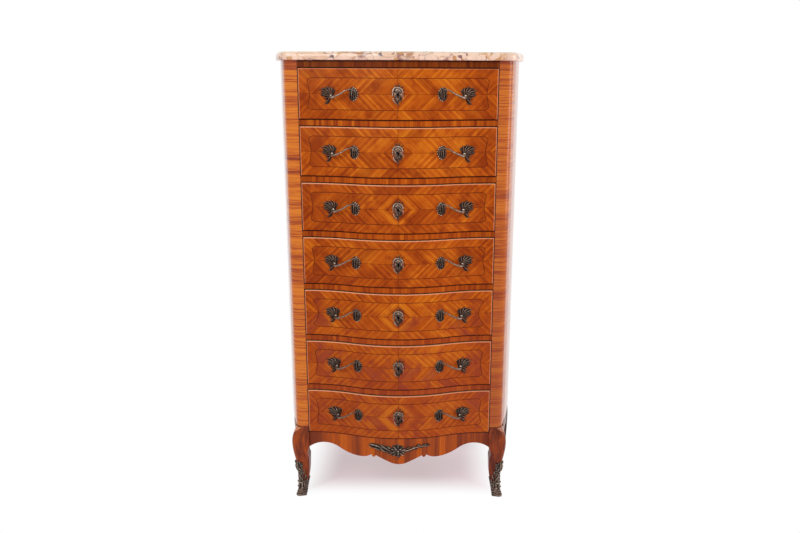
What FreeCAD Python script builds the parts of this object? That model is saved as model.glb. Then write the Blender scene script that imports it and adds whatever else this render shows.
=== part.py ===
import FreeCAD, Part
import math
import os

# A tall chest of seven drawers (semainier) with a serpentine front, curved sides, cabriole legs,
# cast bronze pulls, escutcheons and mounts, and a loose marble top. Lengths are in millimetres.
# +Z is up and the drawers open towards -Y. The origin is on the floor, under the middle of the
# rectangle that the whole piece covers.

V = FreeCAD.Vector

# Heights
DRAWER_COUNT = 7
OPENING_HEIGHT = 149.0
RAIL_HEIGHT = 19.0
FRIEZE_HEIGHT = 21.0
BASE_HEIGHT = 235.5
SHOULDER_RISE = 16.5
MARBLE_THICKNESS = 24.0

# Plan of the carcase
OPENING_WIDTH = 590.0
BOW = 50.0
DEPTH = 350.0
STILE_FLAT = 20.0
CORNER_RADIUS = 24.0
REAR_HALF_WIDTH = 387.0
MARBLE_OVERHANG = 13.5
MARBLE_REAR_OVERHANG = 5.0
MARBLE_TOP_ROUND = 12.0
MARBLE_LOWER_ROUND = 3.0

# Carcase timber
FRONT_POST_DEPTH = 62.0
REAR_POST_DEPTH = 50.0
REAR_POST_WIDTH = 43.0
SIDE_PANEL_EDGE = 12.0
TOP_BOARD_THICKNESS = 17.0
BACK_PANEL_THICKNESS = 8.0
BACK_PANEL_INSET = 4.0
BACK_PANEL_LAP = 4.0
REAR_RAIL_DEPTH = 24.0
RUNNER_REACH = 42.0
GUIDE_HEIGHT = 22.0
GUIDE_WIDTH = 24.0
BOTTOM_BOARD_THICKNESS = 7.0
STOP_SIZE = 16.0
STOP_HEIGHT = 5.0
STOP_SPACING = 400.0
APRON_THICKNESS = 22.0
SIDE_APRON_SETBACK = 2.0
SIDE_APRON_DROP = 73.0
SIDE_APRON_ARCH = 26.0

# Drawers
FRONT_GAP = 1.2
FRONT_PROUD = 3.0
FRONT_THICKNESS = 24.0
FRONT_EDGE_ROUND = 2.5
SIDE_THICKNESS = 12.0
SIDE_CLEARANCE = 2.0
SIDE_HEIGHT = 120.0
RUNNING_CLEARANCE = 0.2
DRAWER_LENGTH = 300.0
DRAWER_BACK_HEIGHT = 112.0
BOTTOM_THICKNESS = 6.0
BOTTOM_RAISE = 8.0
GROOVE_DEPTH = 5.0
GROOVE_CLEARANCE = 0.2

# Lock and keyhole
LOCK_WIDTH = 50.0
LOCK_THICKNESS = 10.5
LOCK_RECESS = 9.0
LOCK_BELOW_KEYHOLE = 18.0
LOCK_CLEARANCE = 0.2
BOLT_WIDTH = 16.0
BOLT_THICKNESS = 4.0
BOLT_LENGTH = 44.0
BOLT_THROW = 8.0
BOLT_CLEARANCE = 0.3
BOLT_TOP_SETBACK = 0.5
BOLT_MORTISE_CLEARANCE = 1.5
KEYHOLE_RADIUS = 2.5
KEYHOLE_SLOT_WIDTH = 2.4
KEYHOLE_SLOT_LENGTH = 9.0
KEYHOLE_WOOD_CLEARANCE = 0.3
KEY_ROOM = 8.0
KEY_PIN_RADIUS = 1.0

# Bronze pulls and mounts
LEAF_THICKNESS = 8.0
BAR_RADIUS = 3.6
BAR_STANDOFF = 21.0
STUD_RADIUS = 2.0
STUD_HOLE_CLEARANCE = 0.3
NUT_ACROSS_FLATS = 7.0
NUT_THICKNESS = 3.2
NUT_CLEARANCE = 0.05
NUT_SEAT_GAP = 0.3
STUD_TIP = 1.0
OUTER_STUD_X = 205.0
INNER_STUD_X = 131.0
ESCUTCHEON_THICKNESS = 4.5
ESCUTCHEON_PEG_RADIUS = 1.2
ESCUTCHEON_PEG_LENGTH = 7.0
ESCUTCHEON_PEG_RISE = 20.0
ESCUTCHEON_PEG_CLEARANCE = 0.05
APRON_MOUNT_THICKNESS = 7.0
APRON_MOUNT_DROP = 40.0
SABOT_THICKNESS = 2.5
SABOT_CUP_HEIGHT = 54.0
SABOT_HEIGHT = 124.0
SABOT_CLEARANCE = 0.05
SABOT_LEAF_BOTTOM = 28.0
SABOT_LEAF_TOP = 13.0

# Outlines of the castings as (x, height); a pull is drawn for the right side of the chest, its
# heights from the middle of the drawer, and a bar also has its share of the full stand-off
LARGE_LEAF = (
    (182, 17), (191, 22), (204, 23), (217, 22), (228, 17), (226, 5), (220, -7), (219, -20),
    (214, -33), (207, -23), (197, -15), (187, -9), (183, 4),
)
SMALL_LEAF = ((131, 21), (140, 15), (144, 1), (140, -14), (131, -20), (122, -14), (118, 0), (121, 14))
BAR_ROUTE = (
    (199, -8, 0.35), (189, -10, 0.85), (173, -5, 1.0), (157, 2, 1.0), (144, 11, 0.85), (134, 14, 0.35),
)
ESCUTCHEON_OUTLINE = (
    (-10, 26), (1, 31), (12, 26), (18, 9), (16, -9), (9, -24), (-1, -33), (-11, -24), (-18, -6), (-17, 11),
)
APRON_MOUNT_OUTLINE = (
    (-102, 14), (-84, 25), (-58, 14), (-24, 16), (4, 31), (34, 22), (62, 15), (88, 25),
    (102, 12), (82, -1), (48, -8), (24, -24), (-2, -31), (-28, -20), (-54, -6), (-84, 0),
)

# The cabriole legs: how far the inner, outer, front and back faces stand out from the faces of the
# post above, and how far the toe's corner stands before the ends of its two faces. The knee is
# measured down from the shoulder and the foot up from the floor.
SHOULDER_HEIGHT = BASE_HEIGHT + SHOULDER_RISE
FRONT_KNEE = (
    (0.0, 0.0, 1.0, 1.0, 0.0, 0.0),
    (14.0, 0.5, 10.0, 6.5, -1.5, 0.0),
    (30.0, 1.0, 16.5, 10.5, -4.0, 0.0),
    (68.0, 0.5, 18.5, 12.0, -12.0, 1.0),
)
FRONT_FOOT = (
    (140.0, -2.5, 12.5, 6.0, -16.0, 3.0),
    (97.0, -3.5, 6.0, -1.0, -20.5, 5.0),
    (66.0, -7.0, 3.0, -3.5, -24.0, 7.0),
    (31.0, -13.5, 5.0, -1.5, -28.0, 8.0),
    (0.0, -18.5, 10.5, 3.0, -30.5, 9.0),
)
FRONT_LEG = tuple((SHOULDER_HEIGHT - knee[0],) + knee[1:] for knee in FRONT_KNEE) + FRONT_FOOT
FRONT_LEG_ROUND = 13.0
# The hollow in a front leg's inner face, where the curve of the apron runs into it
THROAT_DEPTH = 6.0
THROAT_LENGTH = 42.0
REAR_KNEE = (
    (0.0, 0.0, 1.0, 0.0, 0.0),
    (30.0, 0.0, 2.0, 0.0, 0.0),
    (68.0, -1.0, 4.5, 0.0, 0.0),
)
REAR_FOOT = (
    (140.0, -5.0, 6.0, -5.0, 0.0),
    (97.0, -11.0, 5.5, -12.0, 0.0),
    (66.0, -14.0, 4.5, -15.0, 0.0),
    (31.0, -15.5, 2.5, -14.0, 0.0),
    (0.0, -16.0, -2.0, -12.0, 0.0),
)
REAR_LEG = tuple((SHOULDER_HEIGHT - knee[0],) + knee[1:] for knee in REAR_KNEE) + REAR_FOOT
REAR_LEG_ROUND = 10.0

# Half of the front apron's lower edge as drops below the drawers: an arch measured inwards from
# the leg, then from the middle outwards a hollow, a small tooth and the lobe, and a sweep between
APRON_ARCH = ((0.0, 53.5), (49.0, 36.0), (100.0, 49.5))
APRON_SWEEP_DROP = 65.5
APRON_HOLLOW = ((126.0, 70.5), (106.0, 68.0), (89.0, 59.5))
APRON_TOOTH = ((86.0, 66.0), (80.5, 68.5))
APRON_LOBE = (
    ((74.0, 61.5), (45.0, 76.0), (23.0, 86.0)),
    ((23.0, 86.0), (11.0, 89.2), (0.0, 90.0)),
)

# The serpentine front: three tangent arcs of one radius
HALF_OPENING = OPENING_WIDTH / 2
QUARTER_OPENING = OPENING_WIDTH / 4
SERPENTINE_RADIUS = (QUARTER_OPENING**2 + (BOW / 2)**2) / BOW

# FRONT_Y is the plane of the stiles' front faces, where the serpentine ends
FRONT_Y = -(DEPTH + MARBLE_REAR_OVERHANG - BOW - MARBLE_OVERHANG) / 2
REAR_Y = FRONT_Y + DEPTH
PITCH = OPENING_HEIGHT + RAIL_HEIGHT
DRAWERS_TOP = BASE_HEIGHT + DRAWER_COUNT * PITCH - RAIL_HEIGHT
CARCASE_TOP = DRAWERS_TOP + FRIEZE_HEIGHT

# The side's arc is tangent to the stile's rounded corner and to a straight line at the back
CORNER_X = HALF_OPENING + STILE_FLAT
SIDE_RUN_OUT = REAR_HALF_WIDTH - CORNER_X
SIDE_RUN_BACK = DEPTH - CORNER_RADIUS
SIDE_RADIUS = (SIDE_RUN_OUT**2 + SIDE_RUN_BACK**2 - CORNER_RADIUS**2) / (2 * (SIDE_RUN_OUT - CORNER_RADIUS))
SIDE_CENTRE_X = REAR_HALF_WIDTH - SIDE_RADIUS
CORNER_ANGLE = math.atan2(CORNER_X - SIDE_CENTRE_X, DEPTH - CORNER_RADIUS)

POST_BACK_Y = FRONT_Y + FRONT_POST_DEPTH
REAR_POST_Y = REAR_Y - REAR_POST_DEPTH
REAR_POST_X = REAR_HALF_WIDTH - REAR_POST_WIDTH
BACK_PANEL_Y = REAR_Y - BACK_PANEL_INSET - BACK_PANEL_THICKNESS
REAR_RAIL_Y = BACK_PANEL_Y - REAR_RAIL_DEPTH

FRONT_HALF_WIDTH = HALF_OPENING - FRONT_GAP
BOX_HALF_WIDTH = HALF_OPENING - SIDE_CLEARANCE
INNER_FACE = FRONT_THICKNESS - FRONT_PROUD
KEYHOLE_RISE = OPENING_HEIGHT / 2
FAR = 2 * (REAR_HALF_WIDTH + DEPTH)


def save(name, solids):
    """Write one node; a list becomes a group of separate solids."""
    shape = solids[0] if len(solids) == 1 else Part.makeCompound(solids)
    shape.exportStep("parts/" + name + ".step")


def block(x0, x1, y0, y1, z0, z1):
    return Part.makeBox(x1 - x0, y1 - y0, z1 - z0, V(x0, y0, z0))


def mirrored(shape):
    """The same piece on the other side of the middle plane."""
    return shape.mirror(V(0, 0, 0), V(1, 0, 0))


def arc(start, middle, end):
    return Part.Arc(start, middle, end).toShape()


def line(start, end):
    return Part.LineSegment(start, end).toShape()


def face_of(edges):
    return Part.Face(Part.Wire(Part.__sortEdges__(edges)))


def prism(edges, height):
    return face_of(edges).extrude(V(0, 0, height))


def polygon_prism(corners, z0, z1):
    points = [V(x, y, z0) for x, y in corners]
    edges = [line(a, b) for a, b in zip(points, points[1:] + points[:1])]
    return prism(edges, z1 - z0)


def bow_at(x):
    """How far the serpentine stands forward of the stiles at x."""
    x = abs(x)
    if x <= QUARTER_OPENING:
        return BOW - SERPENTINE_RADIUS + math.sqrt(SERPENTINE_RADIUS**2 - x**2)
    if x < HALF_OPENING:
        return SERPENTINE_RADIUS - math.sqrt(SERPENTINE_RADIUS**2 - (HALF_OPENING - x)**2)
    return 0.0


def slope_at(x):
    """Angle in degrees by which the serpentine's outward normal turns towards +X at x."""
    if abs(x) <= QUARTER_OPENING:
        return math.degrees(math.asin(x / SERPENTINE_RADIUS))
    angle = math.degrees(math.asin((HALF_OPENING - abs(x)) / SERPENTINE_RADIUS))
    return math.copysign(angle, x)


def serpentine(shift, half_width, z):
    """The serpentine line from left to right, moved back by shift."""
    middle = (half_width + QUARTER_OPENING) / 2
    stations = (-half_width, -middle, -QUARTER_OPENING, 0, QUARTER_OPENING, middle, half_width)
    points = [V(x, FRONT_Y + shift - bow_at(x), z) for x in stations]
    return [arc(*points[i:i + 3]) for i in (0, 2, 4)]


def band(front_shift, back_shift, half_width, z0, z1):
    """A curved board whose front and back both follow the serpentine."""
    edges = serpentine(front_shift, half_width, z0) + serpentine(back_shift, half_width, z0)
    for x in (-half_width, half_width):
        y = FRONT_Y - bow_at(x)
        edges.append(line(V(x, y + front_shift, z0), V(x, y + back_shift, z0)))
    return prism(edges, z1 - z0)


def straight_backed(front_shift, back_y, half_width, z0, z1):
    """A board with a serpentine front and a straight back."""
    edges = serpentine(front_shift, half_width, z0)
    for x in (-half_width, half_width):
        edges.append(line(V(x, FRONT_Y - bow_at(x) + front_shift, z0), V(x, back_y, z0)))
    edges.append(line(V(-half_width, back_y, z0), V(half_width, back_y, z0)))
    return prism(edges, z1 - z0)


def on_circle(x, y, radius, angle):
    """Point at an angle from the forward direction, turning towards +X."""
    return x + radius * math.sin(angle), y - radius * math.cos(angle)


def outline_prism(offset, rear_y, z0, z1):
    """The whole plan, grown outwards by offset and cut straight at rear_y."""
    turn = math.asin(QUARTER_OPENING / SERPENTINE_RADIUS)
    crest_y = FRONT_Y - BOW + SERPENTINE_RADIUS
    hollow_y = FRONT_Y - SERPENTINE_RADIUS
    hollow = -(SERPENTINE_RADIUS - offset)
    corner_y = FRONT_Y + CORNER_RADIUS
    outer = SERPENTINE_RADIUS + offset
    rounded = CORNER_RADIUS + offset
    side = SIDE_RADIUS + offset
    side_middle = (CORNER_ANGLE + math.pi / 2) / 2
    half = [
        on_circle(HALF_OPENING, hollow_y, hollow, turn),
        on_circle(HALF_OPENING, hollow_y, hollow, turn / 2),
        on_circle(HALF_OPENING, hollow_y, hollow, 0),
        (CORNER_X, FRONT_Y - offset),
        on_circle(CORNER_X, corner_y, rounded, CORNER_ANGLE / 2),
        on_circle(CORNER_X, corner_y, rounded, CORNER_ANGLE),
        on_circle(SIDE_CENTRE_X, REAR_Y, side, side_middle),
        on_circle(SIDE_CENTRE_X, REAR_Y, side, math.pi / 2),
        (REAR_HALF_WIDTH + offset, rear_y),
    ]
    edges = []
    for sign in (-1, 1):
        p = [V(sign * x, y, z0) for x, y in half]
        edges.append(arc(p[0], p[1], p[2]))
        edges.append(line(p[2], p[3]))
        edges.append(arc(p[3], p[4], p[5]))
        edges.append(arc(p[5], p[6], p[7]))
        if rear_y > REAR_Y:
            edges.append(line(p[7], p[8]))
    crest = [V(*on_circle(0, crest_y, outer, angle), z0) for angle in (-turn, 0, turn)]
    edges.append(arc(*crest))
    edges.append(line(V(-half[8][0], rear_y, z0), V(half[8][0], rear_y, z0)))
    return prism(edges, z1 - z0)


def side_x(y, offset):
    """Half-width of the carcase at depth y, grown by offset."""
    return SIDE_CENTRE_X + math.sqrt((SIDE_RADIUS + offset)**2 - (y - REAR_Y)**2)


def panel_inner_x(y):
    """The flat inner face of a side panel, SIDE_PANEL_EDGE thick at both of its ends."""
    front_x = side_x(POST_BACK_Y, 0) - SIDE_PANEL_EDGE
    rear_x = side_x(REAR_POST_Y, 0) - SIDE_PANEL_EDGE
    return front_x + (rear_x - front_x) * (y - POST_BACK_Y) / (REAR_POST_Y - POST_BACK_Y)


def smooth_outline(points):
    """A closed smooth curve in the XZ plane through (x, z) points."""
    curve = Part.BSplineCurve()
    curve.interpolate([V(x, FRONT_Y - FAR / 4, z) for x, z in points], PeriodicFlag=True)
    return Part.Face(Part.Wire([curve.toShape()]))


def cast_plate(points, thickness, back_shift, z0, z1):
    """A plate with a free outline that lies against a serpentine surface."""
    skin = band(back_shift - thickness, back_shift, HALF_OPENING, z0, z1)
    return smooth_outline(points).extrude(V(0, FAR / 2, 0)).common(skin)


def keyhole(y0, y1, z, spare):
    """Cutter for a keyhole between y0 and y1: a round hole with a slot below it."""
    hole = Part.makeCylinder(KEYHOLE_RADIUS + spare, y1 - y0, V(0, y0, z), V(0, 1, 0))
    half_slot = KEYHOLE_SLOT_WIDTH / 2 + spare
    slot = block(-half_slot, half_slot, y0, y1, z - KEYHOLE_SLOT_LENGTH - spare, z)
    return hole.fuse(slot)


def level(number):
    """Bottom of the opening of a drawer; number 1 is the top drawer."""
    return BASE_HEIGHT + (DRAWER_COUNT - number) * PITCH


# ---------------------------------------------------------------- carcase

def rail_levels():
    """Height range of every rail from the bottom one up to the frieze."""
    levels = [(BASE_HEIGHT - RAIL_HEIGHT, BASE_HEIGHT)]
    levels += [(level(n) - RAIL_HEIGHT, level(n)) for n in range(DRAWER_COUNT - 1, 0, -1)]
    levels.append((DRAWERS_TOP, CARCASE_TOP))
    return levels


def bolt_y():
    """Middle plane of the lock's bolt, inside the recess behind the drawer front."""
    return FRONT_Y - BOW + INNER_FACE - LOCK_RECESS + LOCK_THICKNESS / 2


def bolt_mortise(bottom):
    """Pocket in the underside of a rail that the raised bolt enters."""
    half_x = BOLT_WIDTH / 2 + BOLT_MORTISE_CLEARANCE
    half_y = BOLT_THICKNESS / 2 + BOLT_MORTISE_CLEARANCE
    depth = BOLT_THROW + BOLT_MORTISE_CLEARANCE
    return block(-half_x, half_x, bolt_y() - half_y, bolt_y() + half_y, bottom - 1, bottom + depth)


def front_rails():
    rails = []
    for index, (z0, z1) in enumerate(rail_levels()):
        if index == 0:
            rails.append(straight_backed(APRON_THICKNESS, POST_BACK_Y, HALF_OPENING, z0, z1))
        else:
            rail = straight_backed(0, POST_BACK_Y, HALF_OPENING, z0, z1)
            rails.append(rail.cut(bolt_mortise(z0)))
    return rails


def rear_rails():
    return [block(-REAR_POST_X, REAR_POST_X, REAR_RAIL_Y, BACK_PANEL_Y, z0, z1)
            for z0, z1 in rail_levels()[:-1]]


def drawer_runners():
    """Runners join the front and rear rails; a guide strip on each keeps the drawer straight."""
    solids = []
    for z0, z1 in rail_levels()[:-1]:
        inner = HALF_OPENING - RUNNER_REACH
        plan = [
            (inner, POST_BACK_Y),
            (panel_inner_x(POST_BACK_Y), POST_BACK_Y),
            (panel_inner_x(REAR_POST_Y), REAR_POST_Y),
            (REAR_POST_X, REAR_POST_Y),
            (REAR_POST_X, REAR_RAIL_Y),
            (inner, REAR_RAIL_Y),
        ]
        runner = polygon_prism(plan, z0, z1)
        guide = block(HALF_OPENING, HALF_OPENING + GUIDE_WIDTH, POST_BACK_Y, REAR_RAIL_Y,
                      z1, z1 + GUIDE_HEIGHT)
        solids += [runner, mirrored(runner), guide, mirrored(guide)]
    return solids


def drawer_stops():
    """Blocks on the rails that the closing drawer fronts meet."""
    solids = []
    for number in range(1, DRAWER_COUNT + 1):
        for x in (-STOP_SPACING / 2, STOP_SPACING / 2):
            outer_x = abs(x) + STOP_SIZE / 2
            y = FRONT_Y + INNER_FACE - bow_at(outer_x) + RUNNING_CLEARANCE
            z = level(number)
            solids.append(block(x - STOP_SIZE / 2, x + STOP_SIZE / 2, y, y + STOP_SIZE,
                                z, z + STOP_HEIGHT))
    return solids


def front_post(carcase):
    """A right front post: the stile and its leg in one piece, flat where the boards meet it."""
    stile = carcase.common(block(HALF_OPENING, FAR, FRONT_Y - 1, POST_BACK_Y, SHOULDER_HEIGHT, CARCASE_TOP))
    apron_end = BASE_HEIGHT - APRON_ARCH[0][1]
    side_end = SHOULDER_HEIGHT - SIDE_APRON_DROP
    leg = front_leg(0)
    leg = leg.cut(block(0, HALF_OPENING, -FAR, FAR, apron_end, SHOULDER_HEIGHT))
    leg = leg.cut(block(0, FAR, POST_BACK_Y, FAR, side_end, SHOULDER_HEIGHT))
    leg = leg.cut(throat(apron_end))
    return stile.fuse(leg).removeSplitter()


def throat(top):
    """What is hollowed out of a front leg's inner face below the apron's end."""
    start = V(HALF_OPENING, 0, top)
    middle = V(HALF_OPENING + THROAT_DEPTH, 0, top - THROAT_LENGTH / 3)
    end = V(HALF_OPENING + THROAT_DEPTH / 3, 0, top - THROAT_LENGTH)
    low = V(HALF_OPENING - THROAT_DEPTH, 0, top - THROAT_LENGTH)
    high = V(HALF_OPENING - THROAT_DEPTH, 0, top)
    hollow = face_of([arc(start, middle, end), line(end, low), line(low, high), line(high, start)])
    hollow.translate(V(0, -FAR / 2, 0))
    return hollow.extrude(V(0, FAR, 0))


def rounded_corner(before, corner, after, length):
    """Start, middle and end of the arc that rounds a corner, length from it on both sides."""
    to_before = (before - corner).normalize()
    to_after = (after - corner).normalize()
    start = corner + to_before * length
    end = corner + to_after * length
    half_angle = to_before.getAngle(to_after) / 2
    radius = length * math.tan(half_angle)
    bisector = (to_before + to_after).normalize()
    centre = corner + bisector * (radius / math.sin(half_angle))
    return start, centre - bisector * radius, end


def leg_section(front_inner, front_outer, back_outer, back_inner, round_length):
    """Closed section of a leg, with its outer front corner rounded."""
    start, middle, end = rounded_corner(front_inner, front_outer, back_outer, round_length)
    edges = [
        line(front_inner, start),
        arc(start, middle, end),
        line(end, back_outer),
        line(back_outer, back_inner),
        line(back_inner, front_inner),
    ]
    return Part.Wire(edges)


def leg_loft(sections):
    return Part.makeLoft(sections, True, False, False, 3)


def front_leg(offset):
    """A right front leg, grown by offset on all sides but its ends."""
    post_outer = side_x(FRONT_Y, 0)
    post_flare = side_x(POST_BACK_Y, 0) - post_outer
    sections = []
    for z, inner, outer, front, back, toe in FRONT_LEG:
        flare = post_flare if z == SHOULDER_HEIGHT else -toe
        x0 = HALF_OPENING - inner - offset
        x1 = post_outer + outer + offset
        y0 = FRONT_Y - front - offset
        y1 = POST_BACK_Y + back + offset
        sections.append(leg_section(V(x0, y0 + toe, z), V(x1, y0, z), V(x1 + flare, y1, z), V(x0, y1, z),
                                    FRONT_LEG_ROUND + offset))
    return leg_loft(sections)


def rear_leg():
    """A right rear leg, flat at the back."""
    sections = []
    for z, inner, outer, front, back in REAR_LEG:
        x0 = REAR_POST_X - inner
        x1 = REAR_HALF_WIDTH + outer
        y0 = REAR_POST_Y - front
        y1 = REAR_Y + back
        sections.append(leg_section(V(x0, y0, z), V(x1, y0, z), V(x1, y1, z), V(x0, y1, z), REAR_LEG_ROUND))
    return leg_loft(sections)


def rear_post(carcase):
    """A right rear post with its leg, grooved for the back panel."""
    stile = carcase.common(block(REAR_POST_X, FAR, REAR_POST_Y, REAR_Y, SHOULDER_HEIGHT, CARCASE_TOP))
    leg = rear_leg()
    leg = leg.cut(block(0, REAR_POST_X, -FAR, FAR, BASE_HEIGHT - RAIL_HEIGHT, SHOULDER_HEIGHT))
    leg = leg.cut(block(0, FAR, -FAR, REAR_POST_Y, SHOULDER_HEIGHT - SIDE_APRON_DROP, SHOULDER_HEIGHT))
    groove = block(0, REAR_POST_X + BACK_PANEL_LAP, BACK_PANEL_Y, BACK_PANEL_Y + BACK_PANEL_THICKNESS,
                   BASE_HEIGHT - RAIL_HEIGHT, CARCASE_TOP)
    return stile.fuse(leg).removeSplitter().cut(groove)


def side_strip(setback, z0, z1):
    """A board between the posts: curved outside along the carcase, flat inside."""
    y0 = POST_BACK_Y
    y1 = REAR_POST_Y
    outer = [V(side_x(y, -setback), y, z0) for y in (y0, (y0 + y1) / 2, y1)]
    inner = [V(panel_inner_x(y), y, z0) for y in (y0, y1)]
    edges = [arc(*outer), line(outer[0], inner[0]), line(inner[0], inner[1]), line(inner[1], outer[2])]
    return prism(edges, z1 - z0)


def side_panel():
    return side_strip(0, SHOULDER_HEIGHT, CARCASE_TOP)


def side_apron():
    """The board under a side panel, with two shallow arches and a drop in the middle."""
    y0 = POST_BACK_Y
    y1 = REAR_POST_Y
    y_middle = (y0 + y1) / 2
    bottom = SHOULDER_HEIGHT - SIDE_APRON_DROP
    end_z = bottom + SIDE_APRON_ARCH / 3
    board = side_strip(SIDE_APRON_SETBACK, bottom, SHOULDER_HEIGHT)
    for y_end in (y0, y1):
        a = V(0, y_end, end_z)
        b = V(0, (y_end + y_middle) / 2, bottom + SIDE_APRON_ARCH)
        c = V(0, y_middle, bottom)
        low = V(0, y_end, bottom)
        board = board.cut(face_of([arc(a, b, c), line(c, low), line(low, a)]).extrude(V(FAR, 0, 0)))
    return board


def front_apron():
    """A curved board whose lower edge is scalloped, with a small tooth beside the middle lobe."""
    z_low = BASE_HEIGHT - APRON_LOBE[-1][2][1]
    arch = tuple((HALF_OPENING - x, drop) for x, drop in APRON_ARCH)
    halfway = (arch[-1][0] + APRON_HOLLOW[0][0]) / 2
    sweep = (arch[-1], (halfway, APRON_SWEEP_DROP), APRON_HOLLOW[0])
    tooth = (APRON_HOLLOW[-1],) + APRON_TOOTH + (APRON_LOBE[0][0],)
    edges = []
    for sign in (-1, 1):
        def below(points):
            return [V(sign * x, 0, BASE_HEIGHT - drop) for x, drop in points]

        edges += [arc(*below(points)) for points in (arch, sweep, APRON_HOLLOW) + APRON_LOBE]
        edges += [line(*below(ends)) for ends in zip(tooth, tooth[1:])]
        edges.append(line(below(arch)[0], V(sign * HALF_OPENING, 0, BASE_HEIGHT)))
    edges.append(line(V(-HALF_OPENING, 0, BASE_HEIGHT), V(HALF_OPENING, 0, BASE_HEIGHT)))
    outline = face_of(edges)
    outline.translate(V(0, -FAR / 2, 0))
    board = band(0, APRON_THICKNESS, HALF_OPENING, z_low, BASE_HEIGHT)
    return board.common(outline.extrude(V(0, FAR, 0)))


def apron_mount():
    points = [(x, BASE_HEIGHT - APRON_MOUNT_DROP + z) for x, z in APRON_MOUNT_OUTLINE]
    return cast_plate(points, APRON_MOUNT_THICKNESS, 0, 0, BASE_HEIGHT + PITCH)


def sabot():
    """A cast shoe round a front foot, with a leaf that climbs the outer corner of the leg."""
    shell = front_leg(SABOT_THICKNESS).cut(front_leg(SABOT_CLEARANCE))
    cup = block(0, FAR, -FAR, FAR, 0, SABOT_CUP_HEIGHT)
    corner_x = side_x(FRONT_Y, 0) + FRONT_LEG[-2][2]
    corner_y = FRONT_Y - FRONT_LEG[-2][3]
    rings = []
    for z, width in ((0, SABOT_LEAF_BOTTOM), (SABOT_HEIGHT, SABOT_LEAF_TOP)):
        spread = width + FRONT_POST_DEPTH
        corners = [
            V(corner_x - spread, corner_y - FRONT_POST_DEPTH, z),
            V(corner_x + FRONT_POST_DEPTH, corner_y - FRONT_POST_DEPTH, z),
            V(corner_x + FRONT_POST_DEPTH, corner_y + spread, z),
        ]
        rings.append(Part.makePolygon(corners + corners[:1]))
    leaf = Part.makeLoft(rings, True, True)
    return shell.common(cup.fuse(leaf))


def back_panel():
    half = REAR_POST_X + BACK_PANEL_LAP
    return block(-half, half, BACK_PANEL_Y, BACK_PANEL_Y + BACK_PANEL_THICKNESS,
                 BASE_HEIGHT - RAIL_HEIGHT, CARCASE_TOP)


def top_board():
    plan = [
        (panel_inner_x(POST_BACK_Y), POST_BACK_Y),
        (panel_inner_x(REAR_POST_Y), REAR_POST_Y),
        (REAR_POST_X, REAR_POST_Y),
        (REAR_POST_X, BACK_PANEL_Y),
    ]
    corners = plan + [(-x, y) for x, y in reversed(plan)]
    return polygon_prism(corners, CARCASE_TOP - TOP_BOARD_THICKNESS, CARCASE_TOP)


def bottom_board():
    z1 = BASE_HEIGHT - RAIL_HEIGHT
    return block(-HALF_OPENING, HALF_OPENING, FRONT_Y + APRON_THICKNESS, BACK_PANEL_Y,
                 z1 - BOTTOM_BOARD_THICKNESS, z1)


def rim(slab, z):
    """Edges of the slab at height z, without the straight one at the back."""
    return [edge for edge in slab.Edges
            if abs(edge.BoundBox.ZMin - z) < 0.1 and edge.BoundBox.ZLength < 0.1
            and edge.BoundBox.YMin < REAR_Y]


def marble_top():
    rear = REAR_Y + MARBLE_REAR_OVERHANG
    slab = outline_prism(MARBLE_OVERHANG, rear, CARCASE_TOP, CARCASE_TOP + MARBLE_THICKNESS)
    slab = slab.makeFillet(MARBLE_TOP_ROUND, rim(slab, CARCASE_TOP + MARBLE_THICKNESS))
    return slab.makeFillet(MARBLE_LOWER_ROUND, rim(slab, CARCASE_TOP))


# ---------------------------------------------------------------- drawers
# Every drawer is the same, so each piece is made once for the bottom opening and then raised.

def stud_axis(x, z):
    """Point on the drawer front and inward direction, square to the surface."""
    angle = math.radians(slope_at(x))
    point = V(x, FRONT_Y - FRONT_PROUD - bow_at(x), z)
    return point, V(-math.sin(angle), math.cos(angle), 0)


def stud_hole(x, z):
    point, inward = stud_axis(x, z)
    start = point - inward * LEAF_THICKNESS
    return Part.makeCylinder(STUD_RADIUS + STUD_HOLE_CLEARANCE, 3 * FRONT_THICKNESS, start, inward)


def front_thickness_at(x):
    """Thickness of the drawer front square to its surface."""
    return FRONT_THICKNESS * math.cos(math.radians(slope_at(x)))


def pull_stud(x, z):
    point, inward = stud_axis(x, z)
    start = point - inward * (LEAF_THICKNESS / 2)
    length = LEAF_THICKNESS / 2 + front_thickness_at(x) + NUT_THICKNESS + STUD_TIP
    return Part.makeCylinder(STUD_RADIUS, length, start, inward)


def pull_nut(x, z):
    """Hexagonal nut inside the drawer, seated on the inner face of the front."""
    point, inward = stud_axis(x, z)
    seat = point + inward * (front_thickness_at(x) + NUT_SEAT_GAP)
    radius = NUT_ACROSS_FLATS / math.sqrt(3)
    corners = [V(radius * math.cos(k * math.pi / 3), radius * math.sin(k * math.pi / 3), 0) for k in range(7)]
    nut = Part.Face(Part.makePolygon(corners)).extrude(V(0, 0, NUT_THICKNESS))
    nut = nut.cut(Part.makeCylinder(STUD_RADIUS + NUT_CLEARANCE, NUT_THICKNESS))
    nut.Placement = FreeCAD.Placement(seat, FreeCAD.Rotation(V(0, 0, 1), inward))
    return nut


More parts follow.
